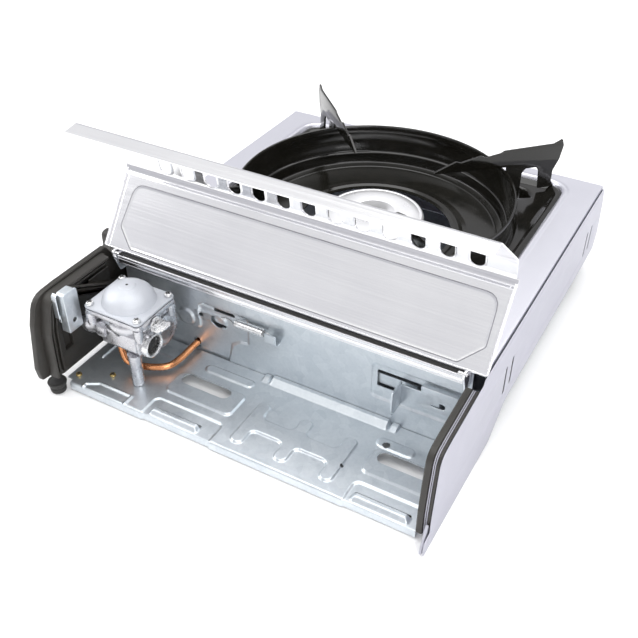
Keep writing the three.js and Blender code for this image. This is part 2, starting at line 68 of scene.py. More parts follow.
# ---- outlines ----
def rounded(points, radius, closed=True, steps=4):
    """The line with every corner rounded; a point may carry a radius of its own."""
    count = len(points)
    out = []
    for i, point in enumerate(points):
        here = np.array(point[:2], float)
        r = point[2] if len(point) > 2 else radius
        if r <= 0 or (not closed and i in (0, count - 1)):
            out.append(here)
            continue
        a = np.array(points[i - 1][:2], float) - here
        b = np.array(points[(i + 1) % count][:2], float) - here
        la, lb = np.linalg.norm(a), np.linalg.norm(b)
        bend = math.acos(max(-1, min(1, float(a @ b) / (la * lb))))
        cut = min(r / max(math.tan(bend / 2), 0.05), 0.48 * la, 0.48 * lb)
        a, b = a / la * cut, b / lb * cut
        for k in range(steps + 1):
            t = k / steps
            out.append(here + a * (1 - t) ** 2 + b * t ** 2)
    return np.array(out)


def rectangle(u0, u1, v0, v1, r=0):
    return rounded([(u0, v0), (u1, v0), (u1, v1), (u0, v1)], r)


def circle(u, v, r, count=32):
    angles = np.arange(count) * 2 * math.pi / count
    return np.stack([u + r * np.cos(angles), v + r * np.sin(angles)], 1)


# ---- signed distances, positive inside ----
def in_disc(u, v, cu, cv, r):
    return r - np.hypot(u - cu, v - cv)


def in_box(u, v, u0, u1, v0, v1, r=0.0):
    du = np.abs(u - (u0 + u1) / 2) - (u1 - u0) / 2 + r
    dv = np.abs(v - (v0 + v1) / 2) - (v1 - v0) / 2 + r
    return r - np.hypot(np.maximum(du, 0), np.maximum(dv, 0)) - np.minimum(np.maximum(du, dv), 0)


def to_line(u, v, points):
    """Distance to an open line."""
    best = np.full(np.shape(u), 1e9)
    for (au, av), (bu, bv) in zip(points[:-1], points[1:]):
        du, dv = bu - au, bv - av
        t = np.clip(((u - au) * du + (v - av) * dv) / (du * du + dv * dv), 0, 1)
        best = np.minimum(best, np.hypot(u - au - t * du, v - av - t * dv))
    return best


def in_outline(u, v, points):
    inside = np.zeros(np.shape(u), bool)
    count = len(points)
    for i in range(count):
        au, av = points[i]
        bu, bv = points[(i + 1) % count]
        if av != bv:
            crosses = ((av > v) != (bv > v)) & (u < (bu - au) * (v - av) / (bv - av) + au)
            inside ^= crosses
    edge = to_line(u, v, [*points, points[0]])
    return np.where(inside, edge, -edge)


def join(a, b, fillet):
    """The union of two distances with a fillet where they meet."""
    h = np.clip(0.5 + 0.5 * (a - b) / fillet, 0, 1)
    return b + (a - b) * h + fillet * h * (1 - h)


def rise(distance, width):
    t = np.clip(distance / width, 0, 1)
    return t * t * (3 - 2 * t)


# ---- meshes ----
SHARP = 35  # degrees from which an edge is shaded sharp
WELD = 0.00002  # metres within which points are joined
ON_AXIS = 0.01  # radius of a turned profile's ends; the weld closes them on the axis


def slot_of(look):
    """The name a material was made with; Blender numbers it where the CAD has a material of that name."""
    return look.name.split(".")[0]


def piece(name, verts, faces, body, look, stands_for, sharp=SHARP):
    """A shaded mesh piece from drawing millimetres, riding on a body.
    The look is a material, whose name would be its slot, or a material and another slot; the slot is not
    used."""
    surface, slot = look if isinstance(look, tuple) else (look, slot_of(look))
    mesh = bpy.data.meshes.new(name)
    mesh.from_pydata((np.asarray(verts, float) * MM + ZERO).tolist(), [], faces)
    mesh.validate()
    mesh.shade_smooth()
    mesh.set_sharp_from_angle(angle=math.radians(sharp))
    mesh.materials.clear()
    mesh.materials.append(surface)
    obj = bpy.data.objects.new(name, mesh)
    bpy.context.scene.collection.objects.link(obj)
    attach(obj, body)
    if stands_for:
        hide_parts(*stands_for)
    return obj


def sheet(name, spans, pitch, keep, surface, thickness, body, look, stands_for):
    """A pressed sheet on a grid: keep is positive where there is metal, surface(u, v, depth) its points."""
    (u0, u1), (v0, v1) = spans
    count_u = max(2, round((u1 - u0) / pitch[0]))
    count_v = max(2, round((v1 - v0) / pitch[1]))
    u, v = np.meshgrid(np.linspace(u0, u1, count_u + 1), np.linspace(v0, v1, count_v + 1), indexing="ij")
    inside = keep(u, v) > 0
    cells = inside[:-1, :-1] | inside[1:, :-1] | inside[:-1, 1:] | inside[1:, 1:]
    step = 0.05
    for _ in range(3):
        d = keep(u, v)
        gu = (keep(u + step, v) - keep(u - step, v)) / (2 * step)
        gv = (keep(u, v + step) - keep(u, v - step)) / (2 * step)
        size = np.maximum(gu * gu + gv * gv, 0.2)
        shift = ~inside & (d > -3 * max(pitch))
        u = np.where(shift, u - d * gu / size, u)
        v = np.where(shift, v - d * gv / size, v)
    used = np.zeros(u.shape, bool)
    for a in (slice(None, -1), slice(1, None)):
        for b in (slice(None, -1), slice(1, None)):
            used[a, b] |= cells
    index = np.full(u.shape, -1)
    index[used] = np.arange(used.sum())
    total = int(used.sum())
    top = np.stack(surface(u[used], v[used], 0.0), 1)
    bottom = np.stack(surface(u[used], v[used], thickness), 1)
    a, b, c, e = (index[s][cells] for s in (np.s_[:-1, :-1], np.s_[1:, :-1], np.s_[1:, 1:], np.s_[:-1, 1:]))
    faces = np.stack([a, b, c, e], 1)
    normal = np.cross(top[faces[:, 1]] - top[faces[:, 0]], top[faces[:, 2]] - top[faces[:, 0]])
    outward = np.sum(normal * (top - bottom)[faces[:, 0]], 1).sum() > 0
    if not outward:
        faces = faces[:, ::-1]
    edges = np.concatenate([faces[:, [i, (i + 1) % 4]] for i in range(4)])
    lookup = {tuple(edge) for edge in edges.tolist()}
    rim = [edge for edge in lookup if (edge[1], edge[0]) not in lookup]
    rim.sort()
    walls = [(q, p, p + total, q + total) for p, q in rim]
    all_faces = faces.tolist() + (faces[:, ::-1] + total).tolist() + walls
    return piece(name, np.concatenate([top, bottom]), all_faces, body, look, stands_for)


def moulding(name, line, section, body, look, stands_for):
    """A closed section of (inset, y) points swept along a line in the xz plane; the inset is to its right."""
    line = np.array(line, float)
    tangent = np.gradient(line, axis=0)
    tangent /= np.linalg.norm(tangent, axis=1)[:, None]
    inward = np.stack([tangent[:, 1], -tangent[:, 0]], 1)
    count = len(section)
    verts = []
    for point, side in zip(line, inward):
        verts.extend((point[0] + side[0] * n, y, point[1] + side[1] * n) for n, y in section)
    last = len(verts) - count
    faces = [tuple(range(count)), tuple(range(last, last + count))[::-1]]
    for i in range(len(line) - 1):
        for k in range(count):
            m = (k + 1) % count
            faces.append((i * count + k, (i + 1) * count + k, (i + 1) * count + m, i * count + m))
    obj = piece(name, verts, faces, body, look, stands_for)
    weld(obj)
    return obj


def fold(name, line, thickness, span, body, look, stands_for):
    """A strip of sheet metal bent along a line in the xz plane, its edges softened."""
    y0, y1 = sorted(span)
    e = thickness * 0.3
    section = [(0, y0 + e), (e, y0), (thickness - e, y0), (thickness, y0 + e), (thickness, y1 - e),
               (thickness - e, y1), (e, y1), (0, y1 - e)]
    bent = rounded(line, thickness, closed=False, steps=5)
    return moulding(name, bent, section, body, look, stands_for)


AXES = {
    "xy": lambda a, b, t: (a, b, t),
    "xz": lambda a, b, t: (a, -t, b),
    "yz": lambda a, b, t: (t, a, b),
}


def plate(name, outline, holes, span, plane, body, look, stands_for, bevel=0.3, turn=None):
    """A flat plate with rounded edges: outline and holes in its plane, span its two faces across it.
    In the xz plane the span runs along Y."""
    curve = bpy.data.curves.new(name, "CURVE")
    curve.dimensions = "2D"
    curve.fill_mode = "BOTH"
    half = abs(span[1] - span[0]) / 2
    bevel = min(bevel, half * 0.9)
    curve.extrude = half - bevel
    curve.bevel_depth = bevel
    curve.bevel_resolution = 2
    curve.offset = -bevel
    for points in (outline, *holes):
        spline = curve.splines.new("POLY")
        spline.points.add(len(points) - 1)
        spline.points.foreach_set("co", [x for p in points for x in (p[0], p[1], 0, 1)])
        spline.use_cyclic_u = True
    obj = bpy.data.objects.new(name + "_line", curve)
    bpy.context.scene.collection.objects.link(obj)
    bpy.context.view_layer.update()
    made = bpy.data.meshes.new_from_object(obj.evaluated_get(bpy.context.evaluated_depsgraph_get()))
    bpy.data.objects.remove(obj)
    flat = np.array([v.co for v in made.vertices])
    mid = (span[0] + span[1]) / 2
    side = -1 if plane == "xz" else 1
    placed = np.stack(AXES[plane](flat[:, 0], flat[:, 1], flat[:, 2] + side * mid), 1)
    if turn is not None:
        placed = placed @ np.array(turn.to_3x3()).T + np.array(turn.translation)
    faces = [tuple(p.vertices) for p in made.polygons]
    bpy.data.meshes.remove(made)
    obj = piece(name, placed, faces, body, look, stands_for)
    weld(obj)
    return obj


def weld(obj):
    work = bmesh.new()
    work.from_mesh(obj.data)
    bmesh.ops.remove_doubles(work, verts=work.verts, dist=WELD)
    bmesh.ops.recalc_face_normals(work, faces=work.faces)
    work.to_mesh(obj.data)
    work.free()
    obj.data.shade_smooth()
    obj.data.set_sharp_from_angle(angle=math.radians(SHARP))


def along(direction):
    """A turn that takes +Z to the direction."""
    return Vector(direction).to_track_quat("Z", "Y").to_matrix().to_4x4()


def lathe(name, profile, centre, body, look, stands_for, count, axis=(0, 0, 1)):
    """A turned piece from a closed profile of (radius, height) points."""
    profile = np.array(profile, float)
    angles = np.arange(count) * 2 * math.pi / count
    rings = np.stack([
        np.outer(profile[:, 0], np.cos(angles)),
        np.outer(profile[:, 0], np.sin(angles)),
        np.repeat(profile[:, 1:2], count, 1),
    ], 2)
    rows = len(profile)
    verts = rings.reshape(-1, 3)
    faces = []
    for i in range(rows):
        j = (i + 1) % rows
        for k in range(count):
            m = (k + 1) % count
            faces.append((i * count + k, i * count + m, j * count + m, j * count + k))
    verts = verts @ np.array(along(axis).to_3x3()).T + np.array(centre, float)
    obj = piece(name, verts, faces, body, look, stands_for)
    weld(obj)
    return obj


def smooth_line(points, count):
    """A Catmull-Rom curve through the points."""
    points = np.array(points, float)
    padded = np.concatenate([2 * points[:1] - points[1:2], points, 2 * points[-1:] - points[-2:-1]])
    out = []
    spans = len(points) - 1
    for s in np.linspace(0, spans - 1e-6, count):
        i, t = int(s), s - int(s)
        p0, p1, p2, p3 = padded[i:i + 4]
        out.append(0.5 * (2 * p1 + (p2 - p0) * t + (2 * p0 - 5 * p1 + 4 * p2 - p3) * t * t
                          + (3 * p1 - p0 - 3 * p2 + p3) * t ** 3))
    return np.array(out)


def tube(name, line, radius, body, look, stands_for, sides):
    """A round bar along a line, closed at both ends."""
    line = np.array(line, float)
    tangent = np.gradient(line, axis=0)
    tangent /= np.linalg.norm(tangent, axis=1)[:, None]
    normal = np.cross(tangent[0], (0.31, 0.57, 0.76))
    verts = []
    angles = np.arange(sides) * 2 * math.pi / sides
    for point, direction in zip(line, tangent):
        normal = normal - direction * (normal @ direction)
        normal /= np.linalg.norm(normal)
        other = np.cross(direction, normal)
        verts.extend(point + radius * (math.cos(a) * normal + math.sin(a) * other) for a in angles)
    faces = [tuple(range(sides))[::-1], tuple(range(len(verts) - sides, len(verts)))]
    for i in range(len(line) - 1):
        for k in range(sides):
            m = (k + 1) % sides
            faces.append((i * sides + k, i * sides + m, (i + 1) * sides + m, (i + 1) * sides + k))
    return piece(name, verts, faces, body, look, stands_for)


# ---- materials ----
SOFT_DETAIL, FINE_DETAIL, RELIEF_DETAIL = 3, 4.0, 2
NOISE_LOW, NOISE_HIGH = 0.3, 0.7  # where most of a noise lies
SPANGLE_SHARE, SPANGLE_HIGH = 0.35, 1.0
RELIEF_DEPTH = 0.0004


def material(name, colours, rough, metal, patch=60, grain=(900, 900, 900), bump=0.0, spangle=0.0):
    """Colour drifts between two colours in soft patches, roughness follows a finer grain."""
    mat = bpy.data.materials.new(name)
    mat.use_nodes = True
    tree = mat.node_tree
    link = tree.links.new
    shader = tree.nodes["Principled BSDF"]
    shader.inputs["Metallic"].default_value = metal
    place = tree.nodes.new("ShaderNodeTexCoord").outputs["Object"]

    def noise(scale, level):
        stretch = tree.nodes.new("ShaderNodeVectorMath")
        stretch.operation = "MULTIPLY"
        stretch.inputs[1].default_value = scale
        link(place, stretch.inputs[0])
        texture = tree.nodes.new("ShaderNodeTexNoise")
        texture.inputs["Scale"].default_value = 1
        texture.inputs["Detail"].default_value = level
        link(stretch.outputs[0], texture.inputs["Vector"])
        return texture.outputs["Fac"]

    soft = noise((patch,) * 3, SOFT_DETAIL)
    fine = noise(grain, FINE_DETAIL)
    mix = tree.nodes.new("ShaderNodeMix")
    mix.data_type = "RGBA"
    mix.inputs["A"].default_value = (*colours[0], 1)
    mix.inputs["B"].default_value = (*colours[1], 1)
    blend = tree.nodes.new("ShaderNodeMath")
    blend.operation = "MULTIPLY_ADD"
    blend.inputs[1].default_value = 0.5
    link(soft, blend.inputs[0])
    half = tree.nodes.new("ShaderNodeMath")
    half.operation = "MULTIPLY"
    half.inputs[1].default_value = 0.5
    link(fine, half.inputs[0])
    link(half.outputs[0], blend.inputs[2])
    shade = blend.outputs[0]
    if spangle:
        cells = tree.nodes.new("ShaderNodeTexVoronoi")
        cells.inputs["Scale"].default_value = spangle
        link(place, cells.inputs["Vector"])
        add = tree.nodes.new("ShaderNodeMath")
        add.operation = "MULTIPLY_ADD"
        add.inputs[1].default_value = SPANGLE_SHARE
        link(cells.outputs["Color"], add.inputs[0])
        link(shade, add.inputs[2])
        shade = add.outputs[0]
    spread = tree.nodes.new("ShaderNodeMapRange")
    spread.inputs["From Min"].default_value = NOISE_LOW
    spread.inputs["From Max"].default_value = SPANGLE_HIGH if spangle else NOISE_HIGH
    link(shade, spread.inputs["Value"])
    link(spread.outputs[0], mix.inputs["Factor"])
    link(mix.outputs["Result"], shader.inputs["Base Color"])
    gloss = tree.nodes.new("ShaderNodeMapRange")
    gloss.inputs["From Min"].default_value = NOISE_LOW
    gloss.inputs["From Max"].default_value = NOISE_HIGH
    gloss.inputs["To Min"].default_value = rough[0]
    gloss.inputs["To Max"].default_value = rough[1]
    link(fine, gloss.inputs["Value"])
    link(gloss.outputs[0], shader.inputs["Roughness"])
    if bump:
        relief = tree.nodes.new("ShaderNodeBump")
        relief.inputs["Strength"].default_value = bump
        relief.inputs["Distance"].default_value = RELIEF_DEPTH
        link(noise(grain, RELIEF_DETAIL), relief.inputs["Height"])
        link(relief.outputs[0], shader.inputs["Normal"])
    return mat


# Dark steel for the line round the lid's pressing: painted shade of the crease.
crease_shade_steel = material("crease_shade_steel", [(0.20, 0.20, 0.22), (0.30, 0.30, 0.32)], (0.35, 0.5), 0.9,
                        patch=80)
BRUSH = (1100, 9, 1100)  # short lines along Y
deck_steel = material("deck_steel", [(0.70, 0.70, 0.76), (0.73, 0.73, 0.79)], (0.34, 0.38), 0.85,
                      grain=(1500, 300, 1500))
silver_paint = material("silver_paint", [(0.44, 0.44, 0.50), (0.48, 0.48, 0.54)], (0.42, 0.50), 0.35,
                        grain=(2600,) * 3)
bright_steel = material("bright_steel", [(0.86, 0.86, 0.88), (0.95, 0.95, 0.96)], (0.16, 0.26), 1.0,
                        patch=25,
                        grain=BRUSH, bump=0.025)
hardware = material("hardware_steel", [(0.62, 0.62, 0.62), (0.82, 0.82, 0.82)], (0.18, 0.32), 1.0,
                    patch=200)
zinc = material("zinc_sheet", [(0.56, 0.61, 0.65), (0.74, 0.78, 0.81)], (0.28, 0.42), 0.85, patch=45,
                spangle=160,
                grain=(500, 500, 500), bump=0.03)
cast_zinc = material("cast_zinc", [(0.46, 0.46, 0.49), (0.66, 0.66, 0.68)], (0.20, 0.36), 0.95, patch=90,
                     grain=(140, 140, 140), bump=0.05)
cover_zinc = material("cover_zinc", [(0.55, 0.57, 0.61), (0.62, 0.64, 0.68)], (0.50, 0.60), 0.45, patch=120,
                      grain=(1500,) * 3, bump=0.05)
cap_aluminium = material("cap_aluminium", [(0.86, 0.86, 0.87), (0.93, 0.93, 0.94)], (0.26, 0.34), 0.7,
                         patch=90,
                         grain=(60, 60, 60))
black_plastic = material("black_plastic", [(0.022, 0.020, 0.017), (0.032, 0.029, 0.025)], (0.42, 0.54), 0.0,
                         patch=80,
                         grain=(2600,) * 3, bump=0.10)
enamel = material("black_enamel", [(0.005, 0.005, 0.004), (0.010, 0.009, 0.007)], (0.09, 0.14), 0.0,
                  patch=70,
                  grain=(160,) * 3, bump=0.02)
brass = material("brass", [(0.55, 0.40, 0.16), (0.66, 0.50, 0.22)], (0.22, 0.36), 1.0, patch=200)
copper = material("copper", [(0.70, 0.27, 0.11), (0.90, 0.42, 0.20)], (0.18, 0.30), 1.0, patch=90)
ceramic = material("ceramic", [(0.78, 0.75, 0.66), (0.86, 0.83, 0.75)], (0.30, 0.42), 0.0, patch=200)
# Black rubber for the feet and the socket seat; the same black also paints the shade in the slits, the hinge
# gap, the flame ports, the vent and the screw recesses.
rubber = material("rubber", [(0.016, 0.016, 0.015), (0.028, 0.027, 0.026)], (0.58, 0.72), 0.0, patch=120,
                  bump=0.08,
                  grain=(2200,) * 3)
wire = material("wire", [(0.015, 0.015, 0.015), (0.03, 0.03, 0.03)], (0.45, 0.6), 0.0, patch=200)

LOOKS = {slot_of(look): look for look in (
    deck_steel, silver_paint, bright_steel, hardware, zinc, cast_zinc, cover_zinc, cap_aluminium,
    black_plastic, enamel, brass, copper, ceramic, rubber, wire,
)}

# ---- bay: floor ----
SHEET = 0.8
FLOOR_Z = drawn("bay_floor")[1][2]
FLOOR_X0, FLOOR_X1 = drawn("bay_floor")[0][0], drawn("bay_floor")[1][0]
FLOOR_Y = (drawn("bay_floor")[0][1], drawn("bay_floor")[1][1])
WINDOWS_Y = (-64.0, 86.0)
EDGE_R = 1.6  # bend down to the outer flange
FLANGE = 5.5


def floor_metal(u, v):
    d = in_box(u, v, FLOOR_X0, FLOOR_X1 + FLANGE, *FLOOR_Y)
    d = np.minimum(d, -in_box(u, v, 317, 340, -150, -129.8, 1))  # clear of the front foot
    for y0 in WINDOWS_Y:
        d = np.minimum(d, -in_box(u, v, 274, 284, y0, y0 + 39, 5))
        d = np.minimum(d, -in_box(u, v, 310.2, 312.6, y0 + 0.5, y0 + 38, 1.0))
    d = np.minimum(d, -in_disc(u, v, 268, 86.5, 2.6))
    d = np.minimum(d, -in_disc(u, v, 297, 70, 1.2))
    return d


BARS_Y = (0.5, 33.0, 65.5)
BAR_X = (272.5, 313.5)


def floor_height(u, v):
    """Raised frames round the windows, the three linked bars, ribs and the bright fillet at the wall."""
    h = 1.3 * rise(in_box(u, v, 272.6, 296, -68.5, -14.5, 5), 1.2)
    h += 1.3 * rise(in_box(u, v, 272.6, 295.5, 81, 140, 5), 1.2)
    bars = in_box(u, v, 286, 299, 0, 66, 2)
    for y in BARS_Y:
        bars = join(bars, in_box(u, v, *BAR_X, y - 5, y + 5, 4.9), 5)
    h += 1.3 * rise(bars, 1.1)
    for y0, y1 in ((-69, -13.5), (82, 140)):
        h -= 0.9 * rise(in_box(u, v, 302, 330, y0, y1, 5), 1.6)
    for y0 in (-63.5, 86.5):
        d = in_box(u, v, 309.4, 318.3, y0 - 0.5, y0 + 38, 2)
        h += 3.0 * rise(d + 0.5, 3.4) * rise(u - 312.4, 0.4)
    h += 1.2 * rise(in_box(u, v, 257.5, 266.5, -140, -75.5, 4.4), 1.5)
    h += rise(in_box(u, v, 257.5, 266, -57, -16.5, 4.2), 1.5)
    h += 0.9 * rise(in_box(u, v, 262, 271.5, 79, 106, 4.6), 1.5)
    ramp = np.clip((256.0 - u) / 5.0, 0, 1)
    h += 3.6 * ramp * rise(in_box(u, v, 240, 259.5, -9.5, 80.5, 1) + 0.5, 2)
    h += 2.2 * ramp * rise(in_box(u, v, 240, 262, -16, -9.8, 1), 1.2)
    h += 2.2 * ramp * rise(in_box(u, v, 240, 262, 81, 87.5, 1), 1.2)
    h += rise(1.6 - to_line(u, v, [(320, -118.5), (316.5, -118.5), (311.5, -110), (311.5, -83),
                                   (320, -83)]), 1.5)
    return h + 1.5 * rise(in_box(u, v, 259, 290, -128, -126, 1), 1)


def floor_surface(u, v, depth):
    h = floor_height(u, v) - depth
    flat = np.minimum(u, FLOOR_X1 - EDGE_R)
    over = np.clip(u - flat, 0, None)
    turn = np.minimum(over / EDGE_R, math.pi / 2)
    down = np.clip(over - EDGE_R * math.pi / 2, 0, None)
    x = flat + (EDGE_R + h) * np.sin(turn)
    z = FLOOR_Z - EDGE_R + (EDGE_R + h) * np.cos(turn) - down
    return x, v, z


sheet("floor_pan", ((FLOOR_X0, FLOOR_X1 + FLANGE), FLOOR_Y), (0.55, 0.6), floor_metal, floor_surface, SHEET,
      "root", zinc, ["bay_floor"])

# ---- bay: divider wall ----
WALL_X = drawn("divider_wall")[1][0]
WALL_LOW, WALL_HIGH = drawn("divider_wall")
NEAR_PANEL = [(-66, 51.5), (-28.4, 51.5), (-28.4, 27.8), (-36, 27.4), (-42.6, 22.3), (-46.2, 7),
              (-46.2, -5),
              (-140, -5), (-140, 28), (-72, 28), (-70, 30), (-70, 49)]
near_outline = rounded(NEAR_PANEL, 3)


def wall_metal(u, v):
    d = in_box(u, v, WALL_LOW[1], WALL_HIGH[1], WALL_LOW[2], WALL_HIGH[2])
    d = np.minimum(d, -in_box(u, v, -77, -71.5, 8.5, 17, 2))
    d = np.minimum(d, -in_disc(u, v, -55, 38.5, 5.4))
    d = np.minimum(d, -in_box(u, v, -51, -47.5, 35, 38, 1))
    d = np.minimum(d, -in_disc(u, v, -68, 40.3, 1.7))
    d = np.minimum(d, -in_box(u, v, -57.5, -40, 47, 49.6, 1))
    return np.minimum(d, -in_box(u, v, 68, 124, 34, 48, 1))


def wall_height(u, v):
    h = -1.1 * rise(in_outline(u, v, near_outline), 1.5)
    h -= 1.1 * rise(in_box(u, v, 64.3, 140, 24, 53.5, 4), 1.6)
    h += 1.2 * rise(in_disc(u, v, -80.7, 34.5, 7.5), 1.8)
    h += 0.8 * rise(in_outline(u, v, rounded([(-73, 36), (-62, 36), (-48, 32), (-46, 44), (-62, 45),
                                              (-73, 45)], 4)), 1.4)
    h -= rise(1.3 - to_line(u, v, [(-66, 49.5), (-57, 48.5)]), 1.2)
    return h


def wall_surface(u, v, depth):
    return WALL_X + wall_height(u, v) - depth, u, v


sheet("wall_panel", ((WALL_LOW[1], WALL_HIGH[1]), (WALL_LOW[2], WALL_HIGH[2])), (0.9, 0.75), wall_metal,
      wall_surface,
      SHEET, "root", zinc, ["divider_wall"])

# ---- deck ----
DECK_Z = drawn("top_deck")[1][2]
DECK_Y = drawn("top_deck")[1][1]
BURNER_X = 119.0
RECESS_HALF = (107, 114)
RECESS = (BURNER_X - RECESS_HALF[0], BURNER_X + RECESS_HALF[0], -RECESS_HALF[1], RECESS_HALF[1])
DECK_BEND = 254.0  # the deck rolls down here, in front of the hinge gap
DECK_ROLL = 1.2  # radius of its rolled edges
deck_low_x = drawn("top_deck")[0][0]


def deck_metal(u, v):
    d = in_box(u, v, deck_low_x - 4, DECK_BEND + 3.2, -DECK_Y - 1.5, DECK_Y + 1.5)
    d = np.minimum(d, -in_box(u, v, RECESS[0] + 7, RECESS[1] - 7, RECESS[2] + 7, RECESS[3] - 7, 8))
    for side in (-1, 1):
        d = np.minimum(d, -in_box(u, v, 252.5, 280, *sorted((side * 130, side * 150))))
    return d


def deck_surface(u, v, depth):
    """The recess steps down inside a low border; the edges roll over."""
    inner = in_box(u, v, *RECESS, 14)
    h = 0.9 * rise(4.8 + inner, 2.0) - 0.9 * rise(inner + 1.5, 1.5)
    h -= 3.7 * rise(inner, 1.4) + depth
    back = np.clip(np.abs(v) - (DECK_Y - DECK_ROLL), 0, None)
    turn_y = np.minimum(back / DECK_ROLL, math.pi / 2)
    side = np.clip(u - (DECK_BEND - DECK_ROLL), 0, None)
    turn_x = np.minimum(side / DECK_ROLL, math.pi / 2)
    fall_x = np.clip(side - DECK_ROLL * math.pi / 2, 0, None)
    fall_y = np.clip(back - DECK_ROLL * math.pi / 2, 0, None)
    x = np.minimum(u, DECK_BEND - DECK_ROLL) + (DECK_ROLL - depth) * np.sin(turn_x)
    y = np.sign(v) * (np.minimum(np.abs(v), DECK_Y - DECK_ROLL) + (DECK_ROLL - depth) * np.sin(turn_y))
    z = DECK_Z + h - (DECK_ROLL - depth) * (2 - np.cos(turn_x) - np.cos(turn_y)) - fall_x - fall_y
    z = np.where((turn_x > 0) | (turn_y > 0), z, DECK_Z + h)
    return x, y, z


sheet("deck", ((deck_low_x - 3, DECK_BEND + 4.0), (-DECK_Y - 1.5, DECK_Y + 1.5)), (1.0, 1.0), deck_metal,
      deck_surface,
      SHEET, "root", deck_steel, ["top_deck"])

ledge = rounded([(253.4, 76.6), (256.4, 76.0), (257.5, 75.9), (258.0, 75.2), (257.6, 73.9), (258.0, 73.4),
                 (258.0, 71.2),
                 (257.6, 70.8), (258.0, 70.3), (257.9, 69.8)], 0.4, closed=False, steps=3)
moulding("hinge_ledge", ledge, [(0, -127.8), (0.7, -127.8), (0.7, 127.2), (0, 127.2)], "root",
         (bright_steel, "deck_steel"), ())
# A thin dark rubber strip on the ledge's top: painted shade for the shadowed gap under the lid's edge.
gap_shade_line = [(254.4, 76.9), (256.9, 76.4)]
moulding("hinge_gap_shade", gap_shade_line, [(0, -127), (0.5, -127), (0.5, 126.6), (0, 126.6)], "root", rubber, ())

# ---- back panel ----
PANEL_Y = drawn("back_panel")[1][1]
SLITS_X = (210.8, 198.8, 29.8, 18.2)
SLIT_HALF, SHADE_HALF = 1.7, 3.4
panel = rounded([
    (0.6, 77.4), (256, 77.4), (258, 74.2), (302, 70.5, 4), (318, 68.5, 12), (322.5, 26, 3), (323, 14),
    (331, 12, 2), (331, 1, 3), (228, 2), (202, 18), (-8, 18, 6), (-12, 32, 4), (-9, 51), (-6, 65),
], 1.0)
slits = [rectangle(x - SLIT_HALF, x + SLIT_HALF, 30.5, 53, 1.5) for x in SLITS_X]
# Dark rubber plates just behind the slits: painted shade for the panel's dark inside.
for i, x in enumerate(SLITS_X):
    plate(f"slit_shade_{i + 1}", rectangle(x - SHADE_HALF, x + SHADE_HALF, 29.5, 54, 0.7), [],
          (PANEL_Y - 0.8, PANEL_Y - 0.45), "xz", "root",
          rubber, (), 0.1)
plate("back_panel_sheet", panel, slits, (PANEL_Y - 0.4, PANEL_Y), "xz", "root", silver_paint,
      ["back_panel"], 0.12)

# ---- lid ----
HINGE_X, HINGE_Z = DECK_EDGE + 0.5, DECK_Z
LID_OPEN = math.radians(126)
LID_Y = (drawn("lid")[0][1], drawn("lid")[1][1])
LID_T = 0.8
LID_LINE = [(3, 2.4), (61.3, 2.4, 7), (71.2, -7.5, 7), (74.9, -60, 4),
            (66.8, -68.4)]  # outer face, lid shut
LIP_Y = (-138.8, 138.7)
SLOT_PITCH = 18.45
SLOT_COUNT = 13
SLOT_MID = 4.5


def arc_line(points, radius):
    """Rounded line with its running length, for rolling a sheet along it."""
    line = rounded(points, radius, closed=False, steps=12)
    length = np.concatenate([[0], np.cumsum(np.linalg.norm(np.diff(line, axis=0), axis=1))])
    tangent = np.gradient(line, length, axis=0)
    tangent /= np.linalg.norm(tangent, axis=1)[:, None]
    return line, length, tangent


lid_line, lid_length, lid_tangent = arc_line(LID_LINE, 3.2)
LID_SPAN = lid_length[-1]
FLAT_END = 58.3
BEND_MID = FLAT_END + 14.0 - 0.8


def in_slots(u, v):
    """The row of round-ended slots across the bend."""
    nearest = np.clip(np.round((v - SLOT_MID) / SLOT_PITCH), -(SLOT_COUNT // 2), SLOT_COUNT // 2)
    y = v - SLOT_MID - nearest * SLOT_PITCH
    return in_box(u, y, BEND_MID - 12.0, BEND_MID + 5.0, -4.7, 4.7, 4.6)


def lid_metal(u, v):
    d = in_box(u, v, 0, LID_SPAN, *LID_Y, 2)
    corner = np.maximum(FLAT_END - u, np.minimum(v - LIP_Y[0], LIP_Y[1] - v))
    return np.minimum(np.minimum(d, corner), -in_slots(u, v))


PANEL_EDGE = rounded([(2.2, -119, 3), (2.2, 120.8, 3), (15.5, 134.3, 4), (46.5, 133.2, 9),
                      (46.5, -128.8, 9),
                      (15.5, -131.7, 4)], 3)


def lid_height(u, v):
    """Height of the pressing towards the lid's outside; the outline is a groove."""
    d = in_outline(u, v, PANEL_EDGE)
    h = 0.35 * rise(d, 1.6)
    h += 0.5 * rise(2.6 - np.abs(u - 53.8), 2.6)
    h -= 0.5 * rise(in_slots(u, v) + 1.3, 1.3)
    for edge in (-137.0, 137.4):
        h += 0.15 * rise(0.8 - np.abs(v - edge), 0.8) * (u < FLAT_END)
    return h


def lid_surface(u, v, depth):
    u = np.clip(u, 0, LID_SPAN)
    x = np.interp(u, lid_length, lid_line[:, 0])
    z = np.interp(u, lid_length, lid_line[:, 1])
    tx = np.interp(u, lid_length, lid_tangent[:, 0])
    tz = np.interp(u, lid_length, lid_tangent[:, 1])
    h = lid_height(u, v) - depth
    x, z = x - tz * h, z + tx * h
    c, s = math.cos(LID_OPEN), math.sin(LID_OPEN)
    return HINGE_X + c * x - s * z, v, HINGE_Z + s * x + c * z


sheet("lid_sheet", ((0, LID_SPAN), LID_Y), (0.42, 0.5), lid_metal, lid_surface, LID_T, "lid", bright_steel,
      ["lid"])


def lid_at(s, z, y):
    """A point of the shut lid, s from the hinge axis along the flat, where the open lid has it."""
    c, n = math.cos(LID_OPEN), math.sin(LID_OPEN)
    return HINGE_X + c * s - n * z, y, HINGE_Z + n * s + c * z


